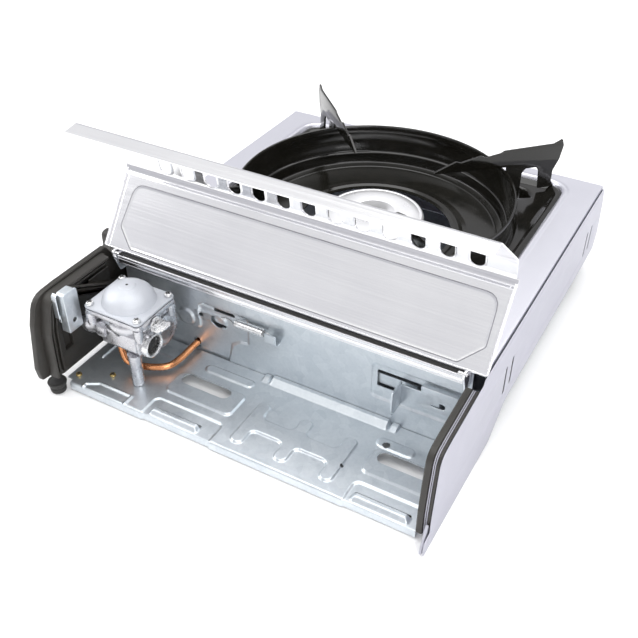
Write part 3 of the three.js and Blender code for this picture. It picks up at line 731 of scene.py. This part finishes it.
for i, edge in enumerate((LID_Y[0] + 0.8, LID_Y[1] - 0.8)):
    hem = [lid_at(s, 1.7, edge) for s in np.linspace(3.2, 58, 30)]
    tube(f"lid_hem_{i + 1}", hem, 0.8, "lid", bright_steel, (), 12)
# A thin dark tube along the pressing's outline on the lid: painted shade for the crease's shadow line.
crease = [lid_at(u + 3.0, 1.62, v) for u, v in [*PANEL_EDGE, PANEL_EDGE[0]]]
tube("lid_crease_shade", crease, 0.32, "lid", (crease_shade_steel, "bright_steel"), (), 8)
hem = [lid_at(3.0, 1.9, y) for y in np.linspace(LID_Y[0] + 1, LID_Y[1] - 1, 60)]
tube("lid_hem_hinge", hem, 0.7, "lid", bright_steel, (), 12)

# ---- front panel ----
LEVER_X = 308.0
FACE_Y = (-144.0, -139.6)
face = rounded([
    (-4, 69, 2), (250, 69, 3), (256, 78, 3), (305, 78), (325, 77, 14), (331, 58), (335.6, 24), (334, 14, 2),
    (300, 9), (232, 9), (228, 3), (202, 18), (-8, 18, 6), (-12, 32, 4), (-9, 51), (-6, 65),
], 1.2)
plate("front_face", face, [circle(225, 49, 5.5)], FACE_Y, "xz", "root", black_plastic, ["front_panel"], 1.0)
arch_line = rounded([(262.5, 76.5), (303, 76.5), (321, 76.5, 14), (327, 50, 8), (328, 24), (328, 14)], 6,
                    closed=False, steps=10)
RIM_SECTION = [(0.4, -140.5), (0.4, -133.2), (0.8, -132.0), (1.7, -131.5), (2.5, -131.9), (3, -133),
               (3, -140.5)]
moulding("front_rim", arch_line, RIM_SECTION, "root", black_plastic, ())
for i, (inset, reach) in enumerate(((4.6, -133.0), (8.8, -133.6))):
    rail = [(inset, -137.5), (inset, reach - 0.3), (inset + 0.3, reach), (inset + 1.1, reach),
            (inset + 1.4, reach - 0.3), (inset + 1.4, -137.5)]
    moulding(f"front_rail_{i + 1}", arch_line, rail, "root", black_plastic, ())
inner = rounded([(260, 10), (260, 76), (321, 76, 14), (326, 50), (327, 24), (327, 14), (318, 10)], 2)
lever_slot = rectangle(LEVER_X - 4, LEVER_X + 4, 26, 64, 1)
plate("front_inner", inner, [lever_slot], (-140.5, -136.2), "xz", "root", black_plastic, (), 0.4)

# ---- rear trim: a dark band with two light ribs and a silver tip ----
trim_line = rounded([(262, 72.6), (301, 69.5), (316.5, 67.3, 12), (319.5, 45, 6), (321.4, 26), (321.4, 8)],
                    4,
                    closed=False, steps=8)
TRIM_SECTION = [(4, 130.5), (0.8, 130.5), (0.1, 131.2), (0, 134.3), (0.5, 134.7), (1.1, 134.8),
                (1.1, 137.2),
                (0.4, 137.4), (0.3, 138.7), (4, 138.7)]
moulding("trim_band", trim_line, TRIM_SECTION, "root", black_plastic, ["rear_trim"])
for i, y in enumerate((135.3, 136.4)):
    rib = [(1.4, y - 0.35), (0.7, y - 0.3), (0.45, y), (0.7, y + 0.3), (1.4, y + 0.35)]
    moulding(f"trim_rib_{i + 1}", trim_line, rib, "root", silver_paint, ())
tip = rounded([(318.6, 8), (323, 22), (326, 13), (330.6, 1.5), (327, 1.2), (322, 5)], 1.6)
plate("trim_tip", tip, [], (137.0, 138.6), "xz", "root", silver_paint, (), 0.3)

# ---- drip pan and windshield ring ----
PAN_STEPS = 256
PAN_TOP = 76.1
PAN_HALF = (106.5, 113.5)
PAN_CORNER = 13.0
BOWL_R = 97.6  # where the bowl meets the rim
BOWL = rounded([(58, 64.1), (61, 64.1), (63.5, 65.2), (66.5, 64.0), (70, 63.9), (89.6, 66.3), (90.3, 66.9),
                (91.2, 66.6), (95.6, 67.6, 1.5), (96.3, PAN_TOP - 0.4, 1.5), (BOWL_R, PAN_TOP + 0.3)], 0.8,
               closed=False)
POCKET = (101.0, 126.0, 8.0)  # from, to and half width of the pockets under the pot supports


def edge_reach(angle):
    """How far the pan's rounded edge lies from the burner's axis."""
    c, s = np.abs(np.cos(angle)), np.abs(np.sin(angle))
    reach = np.minimum(PAN_HALF[0] / np.maximum(c, 1e-6), PAN_HALF[1] / np.maximum(s, 1e-6))
    for _ in range(30):
        x, y = reach * c, reach * s
        reach = reach + in_box(x, y, -PAN_HALF[0], PAN_HALF[0], -PAN_HALF[1], PAN_HALF[1], PAN_CORNER) * 0.7
    return reach


RIM_SHARES = np.concatenate([np.linspace(0.02, 0.93, 34), [0.96, 0.98, 0.99, 1.0, 1.0, 1.0]])
RIM_DROPS = np.concatenate([np.zeros(36), [0.1, 0.4, 1.4, 2.2]])


def pan_point(station, angle, depth):
    """Stations run along the bowl's section, then over the rim and down its edge."""
    n = len(BOWL)
    first = station < n
    k = np.minimum(station, n - 1)
    r = BOWL[k, 0]
    z = BOWL[k, 1].copy()
    j = np.clip(station - n, 0, len(RIM_SHARES) - 1)
    far = edge_reach(angle)
    out = BOWL_R + (far - BOWL_R) * RIM_SHARES[j]
    r = np.where(first, r, out)
    diagonal = (angle % (math.pi / 2)) - math.pi / 4
    across = out * np.sin(diagonal)
    reach = out * np.cos(diagonal)
    pocket = in_box(reach, across, POCKET[0], POCKET[1], -POCKET[2], POCKET[2], 5)
    bead = 0.6 * rise(1.6 - np.abs(out - 104.0), 1.6) * (far > 106)
    edge = 0.9 * rise(2.6 - np.abs(far - out - 3.4), 2.2)
    height = PAN_TOP + 0.1 + bead + edge - 10.5 * rise(pocket + 1, 5.0) - RIM_DROPS[j]
    slope = -1.6 * rise(out - 108, 14) * rise(far - out - 5, 5)
    z = np.where(first, z, height + slope)
    return BURNER_X + r * np.cos(angle), r * np.sin(angle), z - depth


stations, turns = np.meshgrid(np.arange(len(BOWL) + len(RIM_SHARES)),
                              np.arange(PAN_STEPS) * 2 * math.pi / PAN_STEPS, indexing="ij")
shell = [np.stack(pan_point(stations, turns, depth), 2).reshape(-1, 3) for depth in (0.0, 0.7)]
rows = stations.shape[0]
pan_faces = []
for i in range(rows - 1):
    for k in range(PAN_STEPS):
        m = (k + 1) % PAN_STEPS
        quad = (i * PAN_STEPS + k, (i + 1) * PAN_STEPS + k, (i + 1) * PAN_STEPS + m, i * PAN_STEPS + m)
        pan_faces.append(quad)
        pan_faces.append(tuple(q + rows * PAN_STEPS for q in quad[::-1]))
for i, flip in ((0, 1), (rows - 1, -1)):
    for k in range(PAN_STEPS):
        m = (k + 1) % PAN_STEPS
        a, b = i * PAN_STEPS + k, i * PAN_STEPS + m
        pan_faces.append((a, b, b + rows * PAN_STEPS, a + rows * PAN_STEPS)[::flip])
piece("drip_pan_shell", np.concatenate(shell), pan_faces, "pan_set", enamel, ["drip_pan"], 50)

RING = [(97.8, 76.6), (98.1, 77.2), (98.4, 80.8), (98.9, 81.6), (99.6, 92), (99.9, 96.5), (100.4, 97.6),
        (101.2, 98),
        (101.9, 97.6), (102.2, 96.4), (101.9, 95.4), (101.0, 95.0), (100.5, 82), (100.6, 78.5),
        (101.6, 77.2),
        (101.8, 76.6)]
lathe("windshield_wall", RING, (BURNER_X, 0, 0), "pan_set", enamel, ["windshield_ring"], 160)

SUPPORT = rounded([
    (42, 101, 1.5), (62, 109, 2), (66, 107.5, 2), (82, 111, 3), (86, 109, 2), (98, 111, 2), (101, 112.6, 2),
    (141, 113.2, 2), (147.6, 116.3, 1), (149.3, 111, 2), (147.5, 100, 3), (143.5, 91, 3), (143.5, 82, 2),
    (146.5, 76.9), (133, 76.9), (131.5, 92, 3), (129, 95.5, 2), (120, 95.5, 2), (117.5, 92, 2), (117.5, 64),
    (104, 64), (104, 98.9), (93, 98.9, 2),
], 0.6)
ARM_HALF = 0.8  # half an arm's thickness
for i, degrees in enumerate((45, 135, 225, 315)):
    turn = Matrix.Translation((BURNER_X, 0, 0)) @ Matrix.Rotation(math.radians(degrees), 4, "Z")
    plate(f"support_arm_{i + 1}", SUPPORT, [], (-ARM_HALF, ARM_HALF), "xz", "pan_set", enamel,
          [f"pot_support_{i + 1}"], 0.3, turn)

# ---- burner ----
HEAD = [(ON_AXIS, 34), (19, 34), (23, 35.5), (25.5, 39), (27, 48), (28.5, 53), (33, 60), (34, 63),
        (34, 69.4), (33.4, 70),
        (32.5, 69.6), (32.3, 63.5), (26, 53), (21, 40.5), (18, 37.5), (ON_AXIS, 37)]
lathe("burner_bowl", HEAD, (BURNER_X, 0, 0), "root", cast_zinc, ["burner_head"], 96)
CAP = [(ON_AXIS, 72), (30, 70.8), (33, 70.3), (36.4, 70.9), (37.2, 71.8), (37.3, 73.4), (36.8, 74.6),
       (35.6, 75.6),
       (34.4, 75.7), (33.9, 75.4), (33.3, 75.9), (28, 76.9), (16, 77.7), (15.2, 77.4), (14.4, 77.8),
       (ON_AXIS, 78)]
lathe("burner_cap_disc", CAP, (BURNER_X, 0, 0), "root", cap_aluminium, ["burner_cap"], 96)
# Each port is a shallow dark rubber disc on the bowl's rim: painted shade for a port hole, which is not cut.
PORTS, PORT_R, PORT_Z = 24, 34.6, 67.4
for i in range(PORTS):
    a = 2 * math.pi * i / PORTS
    at = (BURNER_X + PORT_R * math.cos(a), PORT_R * math.sin(a), PORT_Z)
    lathe(f"flame_port_shade_{i + 1}", [(ON_AXIS, 0), (0.9, 0), (1.0, -0.5), (ON_AXIS, -0.6)], at, "root", rubber,
          (),
          10, (math.cos(a), math.sin(a), 0))

# ---- pressure regulator ----
REG_X, REG_Y, COVER_Z = 285.0, -97.0, 64.4
OUTLET_X, OUTLET_Z = 289, 38  # centre of the can's socket
lobes = rounded([(REG_X + x, REG_Y + y, *r) for x, y, *r in (
    (-20, -23, 4), (-11, -22.6), (11, -22.6), (20, -23, 4), (19.7, -13), (19.7, 13),
    (20, 23, 4), (11, 22.6), (-11, 22.6), (-20, 23, 4), (-19.7, 13), (-19.7, -13),
)], 2)
plate("regulator_flange", lobes, [], (60, 63.4), "xy", "root", cast_zinc, ["regulator_body"], 0.5)
CUP = [(ON_AXIS, 36), (11, 36), (14, 38), (15.4, 41), (16.2, 48), (18.6, 52), (18.6, 55), (17.4, 57),
       (18.4, 61), (ON_AXIS, 61)]
lathe("regulator_cup", CUP, (REG_X, REG_Y, 0), "root", cast_zinc, (), 72)
block = rounded([(272, 40, 3), (277, 32, 4), (296, 32, 5), (301, 37, 3), (301, 48, 4), (297, 56, 4),
                 (274, 56, 3)], 2)
plate("regulator_block", block, [], (-112, -83), "xz", "root", cast_zinc, (), 1.6)
step_block = rounded([(281, 33, 2), (299, 33, 3), (300, 44, 3), (297, 47.5, 3), (284, 48, 2)], 2)
plate("regulator_step", step_block, [], (-94, -81.5), "xz", "root", cast_zinc, (), 1.4)
FRONT_BOSS = [(ON_AXIS, 0), (6.5, 0), (8.4, 0.8), (9, 2), (9, 6), (8, 7.5), (8, 13), (9, 14), (9, 21),
              (ON_AXIS, 21)]
lathe("regulator_front_boss", FRONT_BOSS, (293, -129, 45), "root", cast_zinc, (), 48, (0, 1, 0))
SIDE_BOSS = [(ON_AXIS, 0), (11, 0), (13.4, 1), (14, 3), (14, 7), (15.4, 9), (16, 11), (16, 19), (15, 21),
             (12, 21.8),
             (11.6, 23.4), (8.6, 24), (ON_AXIS, 24)]
lathe("regulator_side_boss", SIDE_BOSS, (271, -104, 38), "root", cast_zinc, (), 64, (0, 1, 0))
for i, (x, y) in enumerate(((-17, -19.8), (17, -19.8), (-17, 19.8), (17, 19.8))):
    PILLAR = [(ON_AXIS, 50), (2.4, 50.4), (3.2, 54), (3.4, 60.5), (ON_AXIS, 60.5)]
    lathe(f"regulator_pillar_{i + 1}", PILLAR, (REG_X + x, REG_Y + y, 0), "root", cast_zinc, (), 20)
plate("regulator_cover_plate", lobes, [], (COVER_Z, COVER_Z + 1.8), "xy", "root", cover_zinc,
      ["regulator_cover"], 0.35)
DOME = [(ON_AXIS, 0.6), (17.2, 0.6), (18.3, 1.5), (18.1, 2.4), (17.7, 2.8), (17.2, 5.4), (15.6, 8.2),
        (12.8, 10.8),
        (9.4, 12.6), (5.9, 13.5), (5.4, 14.1), (4.9, 14.3), (1.0, 14.35), (0.8, 13.9), (ON_AXIS, 11.4)]
lathe("regulator_dome", DOME, (REG_X, REG_Y, COVER_Z), "root", cover_zinc, (), 96)
# A thin dark rubber disc on the dome's top: painted shade for the vent hole.
lathe("regulator_vent_shade", [(ON_AXIS, 0), (0.8, 0), (0.8, -0.3), (ON_AXIS, -0.4)],
      (REG_X, REG_Y, COVER_Z + 14.3), "root",
      rubber, (), 16)


def screw(name, at, radius, axis, body, look, stands_for):
    """A cross-recess pan head; the recess is a thin dark cross set flush in the head, painted shade for a
    recess that is not cut.
    """
    profile = [(ON_AXIS, 0), (radius, 0), (radius, radius * 0.22), (radius * 0.86, radius * 0.5),
               (radius * 0.5, radius * 0.66),
               (ON_AXIS, radius * 0.7)]
    lathe(name, profile, at, body, look, stands_for, 28, axis)
    place = along(axis)
    place.translation = Vector(at)
    a, b = radius * 0.55, radius * 0.13
    cross = [(a, -b), (a, b), (b, b), (b, a), (-b, a), (-b, b), (-a, b), (-a, -b), (-b, -b), (-b, -a),
             (b, -a), (b, -b)]
    # The dark cross is painted shade for the recess.
    plate(name + "_cross_shade", cross, [], (radius * 0.55, radius * 0.73), "xy", body, rubber, (), 0.03, place)


for i, (x, y) in enumerate(((-16.5, -19.5), (16.5, -19.5), (-16.5, 19.5), (16.5, 19.5))):
    screw(f"cover_screw_head_{i + 1}", (REG_X + x, REG_Y + y, COVER_Z + 2.2), 2.8, (0, 0, 1), "root",
          hardware, [f"cover_screw_{i + 1}"])

SOCKET = [(6.6, -2.2), (6.6, 1.2), (7.1, 2.4), (7.9, 2.9), (8.7, 2.4), (9.1, 1.3), (9.1, -2.0), (8.4, -3.2)]
lathe("socket_ring", SOCKET, (OUTLET_X, -79.2, OUTLET_Z), "root", (hardware, "cast_zinc"), ["can_socket"],
      64, (0, 1, 0))
lathe("socket_seat", [(ON_AXIS, 0), (6.6, 0), (6.6, 0.6), (3.4, 0.7), (3.2, 2.2), (ON_AXIS, 2.4)],
      (OUTLET_X, -81.4, OUTLET_Z), "root",
      rubber, (), 48, (0, 1, 0))
latch = rounded([(283.2, -73.6), (293.8, -73.6), (293.8, -64.4, 1.5), (291, -63.6), (286, -63.6),
                 (283.2, -65.4, 1.5)], 0.8)
plate("latch_plate", latch, [], (57.8, 58.8), "xy", "root", hardware, ["latch_bracket"], 0.25)
raised = rectangle(284.6, 292.4, -72.2, -68.6, 0.8)
plate("latch_pad", raised, [], (58.6, 59.5), "xy", "root", hardware, (), 0.3)
latch_up = rounded([(283.2, 54.2), (293.8, 54.2), (293.8, 60, 2), (290, 63.2, 1), (287, 63.2, 1),
                    (283.2, 60, 2)], 1)
plate("latch_upright", latch_up, [circle(288.5, 60.6, 0.9, 20)], (-73.7, -72.7), "xz", "root", hardware, (),
      0.25)
latch_side = rounded([(-73.4, 55.2), (-68, 55.2, 1.5), (-66, 57, 1), (-66, 58.6), (-73.4, 58.6)], 0.5)
plate("latch_side", latch_side, [], (293.0, 294.0), "yz", "root", hardware, (), 0.25)
POST = [(ON_AXIS, 0), (4.1, 0), (4.3, 0.5), (4.2, 9), (4.4, 18), (4.9, 26), (ON_AXIS, 26)]
lathe("support_column", POST, (298, -87.5, drawn("support_post")[0][2]), "root", cast_zinc,
      ["support_post"], 40)
copper_line = smooth_line([(292, -104, 31.4), (292, -104, 24), (291.3, -101.5, 16.6), (288.5, -94, 13.0),
                           (284, -84, 12.4), (278, -76.4, 12.4), (268, -74.2, 12.4), (256, -74.2, 12.6),
                           (243, -74.2, 12.8)], 90)
tube("copper_pipe", copper_line, 2.4, "root", copper, ["copper_tube"], 20)
for i, (x, y) in enumerate(((266, -114), (312, -129), (301, -108))):
    screw(f"floor_stud_{i + 1}", (x, y, FLOOR_Z + 0.4), 2.2, (0, 0, 1), "root", brass, ())

# ---- can lock ----
fold("bracket_front", [(303.4, 48.4), (303.4, 77), (305.4, 78.6), (313.6, 78.6), (315.6, 77),
                       (315.6, 48.4)], 1.0,
     (-131.0, -124.6), "lock_lever", zinc, ["lever_bracket"])
web = rounded([(303.2, 48.2, 1), (315.8, 48.2, 1), (315.8, 78.8, 2.4), (303.2, 78.8, 2.4)], 1)
plate("bracket_web", web, [circle(309.5, 56, 1.8, 24)], (-125, -124), "xz", "lock_lever", zinc, (), 0.3)
fold("bracket_tab", [(317.4, 60), (317.4, 77), (315.8, 78.4)], 0.8, (-132.4, -128.6), "lock_lever", zinc,
     ())
plate("bracket_stem", rectangle(303.2, 315.8, 54, 62, 1.5), [], (-132.8, -130.2), "xz", "lock_lever", zinc,
      (), 0.3)
grip = rectangle(299, 317, 54, 63, 3)
plate("lever_grip", grip, [], (-152, -140.5), "xz", "lock_lever", black_plastic, ["lever_handle"], 1.6)
plate("lever_stem", rectangle(305, 311, 54, 62, 1), [], (-141, -133.2), "xz", "lock_lever", black_plastic,
      (), 0.4)

PUSHER_Z = (drawn("link_rod")[0][2] + drawn("link_rod")[1][2]) / 2
fold("pusher_tab", [(249, 29), (262.6, 29)], 1.0, (85, 86.2), "can_pusher", zinc, ())
tab = rounded([(249.2, 28.2, 1), (261, 28.2, 3), (263, 33, 2), (263, 47.6, 2), (249.2, 47.6, 1)], 1)
plate("pusher_face", tab, [], (85, 86.2), "xz", "can_pusher", zinc, ["pusher_slide"], 0.3)
strap = rounded([(85.4, 28.7, 1), (98, 28.7, 1), (103, 31.5, 2), (122, 31.5, 1), (122, 45.3, 1),
                 (85.4, 45.3, 1)], 1)
plate("pusher_strap", strap, [rectangle(106, 116, 36.4, 40.6, 2)], (WALL_X + 1.1, WALL_X + 2.1), "yz",
      "can_pusher",
      zinc, (), 0.25)
plate("pusher_neck", rectangle(95, 112, PUSHER_Z - 2, PUSHER_Z + 2, 0.8), [], (243, WALL_X + 1.8), "yz",
      "can_pusher",
      zinc, (), 0.3)
guide = rectangle(100, 124, 46.6, 51.4, 0.8)
plate("guide_lip", guide, [], (WALL_X + 3, WALL_X + 4), "yz", "root", zinc, ["pusher_guide"], 0.25)
plate("guide_top", rectangle(100, 124, 50.5, 51.5, 0.2), [], (WALL_X + 0.3, WALL_X + 3.8), "yz", "root",
      zinc, (), 0.2)

COIL_R, COIL_WIRE, COIL_TURNS = 2.7, 0.44, 24
COIL_Y = (-35.5, -13.5)
COIL_X, COIL_Z = WALL_X + 4, 48
t = np.linspace(0, 1, COIL_TURNS * 16)
spiral = np.stack([COIL_X + COIL_R * np.cos(2 * math.pi * COIL_TURNS * t),
                   COIL_Y[0] + (COIL_Y[1] - COIL_Y[0]) * t,
                   COIL_Z + COIL_R * np.sin(2 * math.pi * COIL_TURNS * t)], 1)
tube("return_coil", spiral, COIL_WIRE, "root", hardware, ["return_spring"], 8)
for i, (y, far) in enumerate(((COIL_Y[0], -47.5), (COIL_Y[1], -9.5))):
    hook = smooth_line([(COIL_X + COIL_R, y, COIL_Z), (COIL_X, (y * 2 + far) / 3, 48.6),
                        (COIL_X, far, 48.6),
                        (COIL_X, far + (1.6 if far < y else -1.6), 46.6)], 24)
    tube(f"return_hook_{i + 1}", hook, COIL_WIRE, "root", hardware, (), 8)
fold("anchor_tab", [(WALL_X + 0.5, 41), (WALL_X + 3.4, 41), (WALL_X + 5.4, 43), (WALL_X + 5.4, 49.6)], 0.8,
     (-12, -3.4),
     "root", zinc, ["spring_anchor"])

# ---- hinge: lugs with a bent bright tab, pins ----
for end, (y0, y1), out in (("front", (-130, -128.5), -1), ("back", (127.5, 129), 1)):
    lug = rounded([(WALL_X + 0.4, 62), (256, 62, 3), (261, 76, 2), (261, 80.4, 2.4), (256, 80.4, 2.4),
                   (255.6, 76),
                   (WALL_X + 0.4, 76)], 0.6)
    plate(f"lug_{end}", lug, [circle(HINGE_X, HINGE_Z, 1.3, 24)], (y0, y1), "xz", "root",
          (bright_steel, "hardware_steel"), [f"hinge_lug_{end}"], 0.3)
    low, high = drawn(f"hinge_pin_{end}")
    length = high[1] - low[1]
    PIN = [(ON_AXIS, 0), (0.9, 0), (1.2, 0.3), (1.2, length - 0.3), (0.9, length), (ON_AXIS, length)]
    lathe(f"pin_{end}", PIN, (HINGE_X, low[1], HINGE_Z), "root", hardware, [f"hinge_pin_{end}"], 24,
          (0, 1, 0))

# ---- gas valve knob ----
KNOB = (225.0, 49.0)
KNOB_BACK_Y = -145
KNOB_PROFILE = [(ON_AXIS, 0), (19.2, 0), (20, 0.8), (20, 5.4), (19.4, 6.4), (18.2, 7.6), (17.2, 8.4),
                (16.4, 11), (16, 16.6),
                (15, 18.4), (13.4, 19), (ON_AXIS, 19.2)]
lathe("knob_body", KNOB_PROFILE, (KNOB[0], KNOB_BACK_Y, KNOB[1]), "knob", black_plastic, ["control_knob"],
      96,
      (0, -1, 0))
bar = rectangle(KNOB[0] - 5, KNOB[0] + 5, KNOB[1] - 18, KNOB[1] + 18, 4.5)
plate("knob_bar", bar, [], (-169, -158), "xz", "knob", black_plastic, (), 1.4)
mark = rectangle(KNOB[0] - 0.7, KNOB[0] + 0.7, KNOB[1] + 8, KNOB[1] + 16, 0.5)
plate("knob_pointer", mark, [], (-169.0, -168.6), "xz", "knob", (cap_aluminium, "black_plastic"), (), 0.15)
RIDGES, RIDGE_R, RIDGE_Y = 36, 19.7, -145.6
for i in range(RIDGES):
    a = 2 * math.pi * i / RIDGES
    x, z = KNOB[0] + RIDGE_R * math.cos(a), KNOB[1] + RIDGE_R * math.sin(a)
    lathe(f"knob_ridge_{i + 1}", [(ON_AXIS, 0), (0.6, 0.3), (0.7, 2.6), (0.5, 4.6), (ON_AXIS, 5)],
          (x, RIDGE_Y, z), "knob",
          black_plastic, (), 8, (0, -1, 0))

# ---- feet ----
for name in ("foot_front_burner", "foot_rear_burner", "foot_front_bay", "foot_rear_bay"):
    low, high = drawn(name)
    top_r = (high[0] - low[0]) / 2
    height = high[2]
    foot_r = top_r - 1.2
    FOOT = [(ON_AXIS, 0), (foot_r - 1.2, 0), (foot_r - 0.3, 0.4), (foot_r, 1.4),
            (foot_r + 0.2, height * 0.4),
            (foot_r - 0.4, height * 0.5), (foot_r + 0.4, height * 0.6), (top_r, height - 0.8),
            (top_r - 0.3, height),
            (ON_AXIS, height)]
    lathe(f"{name}_pad", FOOT, ((low[0] + high[0]) / 2, (low[1] + high[1]) / 2, 0), "root", rubber, [name],
          48)

# ---- stage: camera, light, floor ----
CAMERA_AT = ZERO + np.array([0.62745, 0.23847, 0.40893])
AZIMUTH, ELEVATION, ROLL = math.radians(119.2447), math.radians(37.7389), math.radians(0.2312)
FOCAL_SHARE = 871.46 / 638  # focal length over the picture's width
SENSOR = 36.0

back = Vector((math.sin(AZIMUTH) * math.cos(ELEVATION), -math.cos(AZIMUTH) * math.cos(ELEVATION),
               math.sin(ELEVATION)))
right = (-back).cross(Vector((0, 0, 1))).normalized()
up = right.cross(-back)
side = right * math.cos(ROLL) + up * math.sin(ROLL)
top = up * math.cos(ROLL) - right * math.sin(ROLL)
camera_data = bpy.data.cameras.new("camera")
camera_data.sensor_width = SENSOR
camera_data.lens = FOCAL_SHARE * SENSOR
camera_data.clip_start = 0.02
camera = bpy.data.objects.new("camera", camera_data)
camera.matrix_world = Matrix((
    (side.x, top.x, back.x, CAMERA_AT[0]),
    (side.y, top.y, back.y, CAMERA_AT[1]),
    (side.z, top.z, back.z, CAMERA_AT[2]),
    (0, 0, 0, 1),
))
bpy.context.scene.collection.objects.link(camera)
bpy.context.scene.camera = camera


def light(name, at, size, power, target=(0, 0, 0.04)):
    data = bpy.data.lights.new(name, "AREA")
    data.shape = "RECTANGLE"
    data.size, data.size_y = size
    data.energy = power
    obj = bpy.data.objects.new(name, data)
    obj.location = at
    obj.rotation_mode = "QUATERNION"
    obj.rotation_quaternion = (Vector(at) - Vector(target)).to_track_quat("Z", "Y")
    bpy.context.scene.collection.objects.link(obj)


light("overhead", (-0.1, 0.1, 1.3), (1.4, 1.4), 14)
light("left", (0.4, -1.2, 0.8), (0.9, 0.9), 8)
light("right", (0.9, 1.0, 0.7), (0.8, 0.8), 6)

world = bpy.data.worlds.new("studio")
world.use_nodes = True
sky = world.node_tree
direction = sky.nodes.new("ShaderNodeTexCoord").outputs["Generated"]
split = sky.nodes.new("ShaderNodeSeparateXYZ")
ramp = sky.nodes.new("ShaderNodeValToRGB")
ramp.color_ramp.elements[0].color = (0.52, 0.52, 0.56, 1)
for stop, colour in ((0.35, (0.70, 0.70, 0.74)), (0.75, (1.0, 1.0, 1.0))):
    element = ramp.color_ramp.elements.new(stop)
    element.color = (*colour, 1)
sky.links.new(direction, split.inputs[0])
sky.links.new(split.outputs["Z"], ramp.inputs["Fac"])
sky.links.new(ramp.outputs["Color"], sky.nodes["Background"].inputs["Color"])
sky.nodes["Background"].inputs["Strength"].default_value = 0.95
bpy.context.scene.world = world
bpy.context.scene.view_settings.view_transform = "Standard"

ground = bpy.data.meshes.new("ground")
HALF, DROP = 6, -0.0003  # half the floor's width, and its height just under the feet, in metres
ground.from_pydata([(x, y, DROP) for x, y in ((-HALF, -HALF), (HALF, -HALF), (HALF, HALF), (-HALF, HALF))],
                   [], [(0, 1, 2, 3)])
ground_obj = bpy.data.objects.new("ground", ground)
bpy.context.scene.collection.objects.link(ground_obj)
ground.materials.append(material("ground_white", [(0.93, 0.93, 0.93), (0.95, 0.95, 0.95)], (0.85, 0.95),
                                 0.0))

# ---- the CAD nodes that stay get their slots' looks ----
for part in frame["record"]["subparts"]:
    node = frame["nodes"][part["node"]]
    node.data.materials.clear()
    node.data.materials.append(LOOKS[part["material_slot"]])
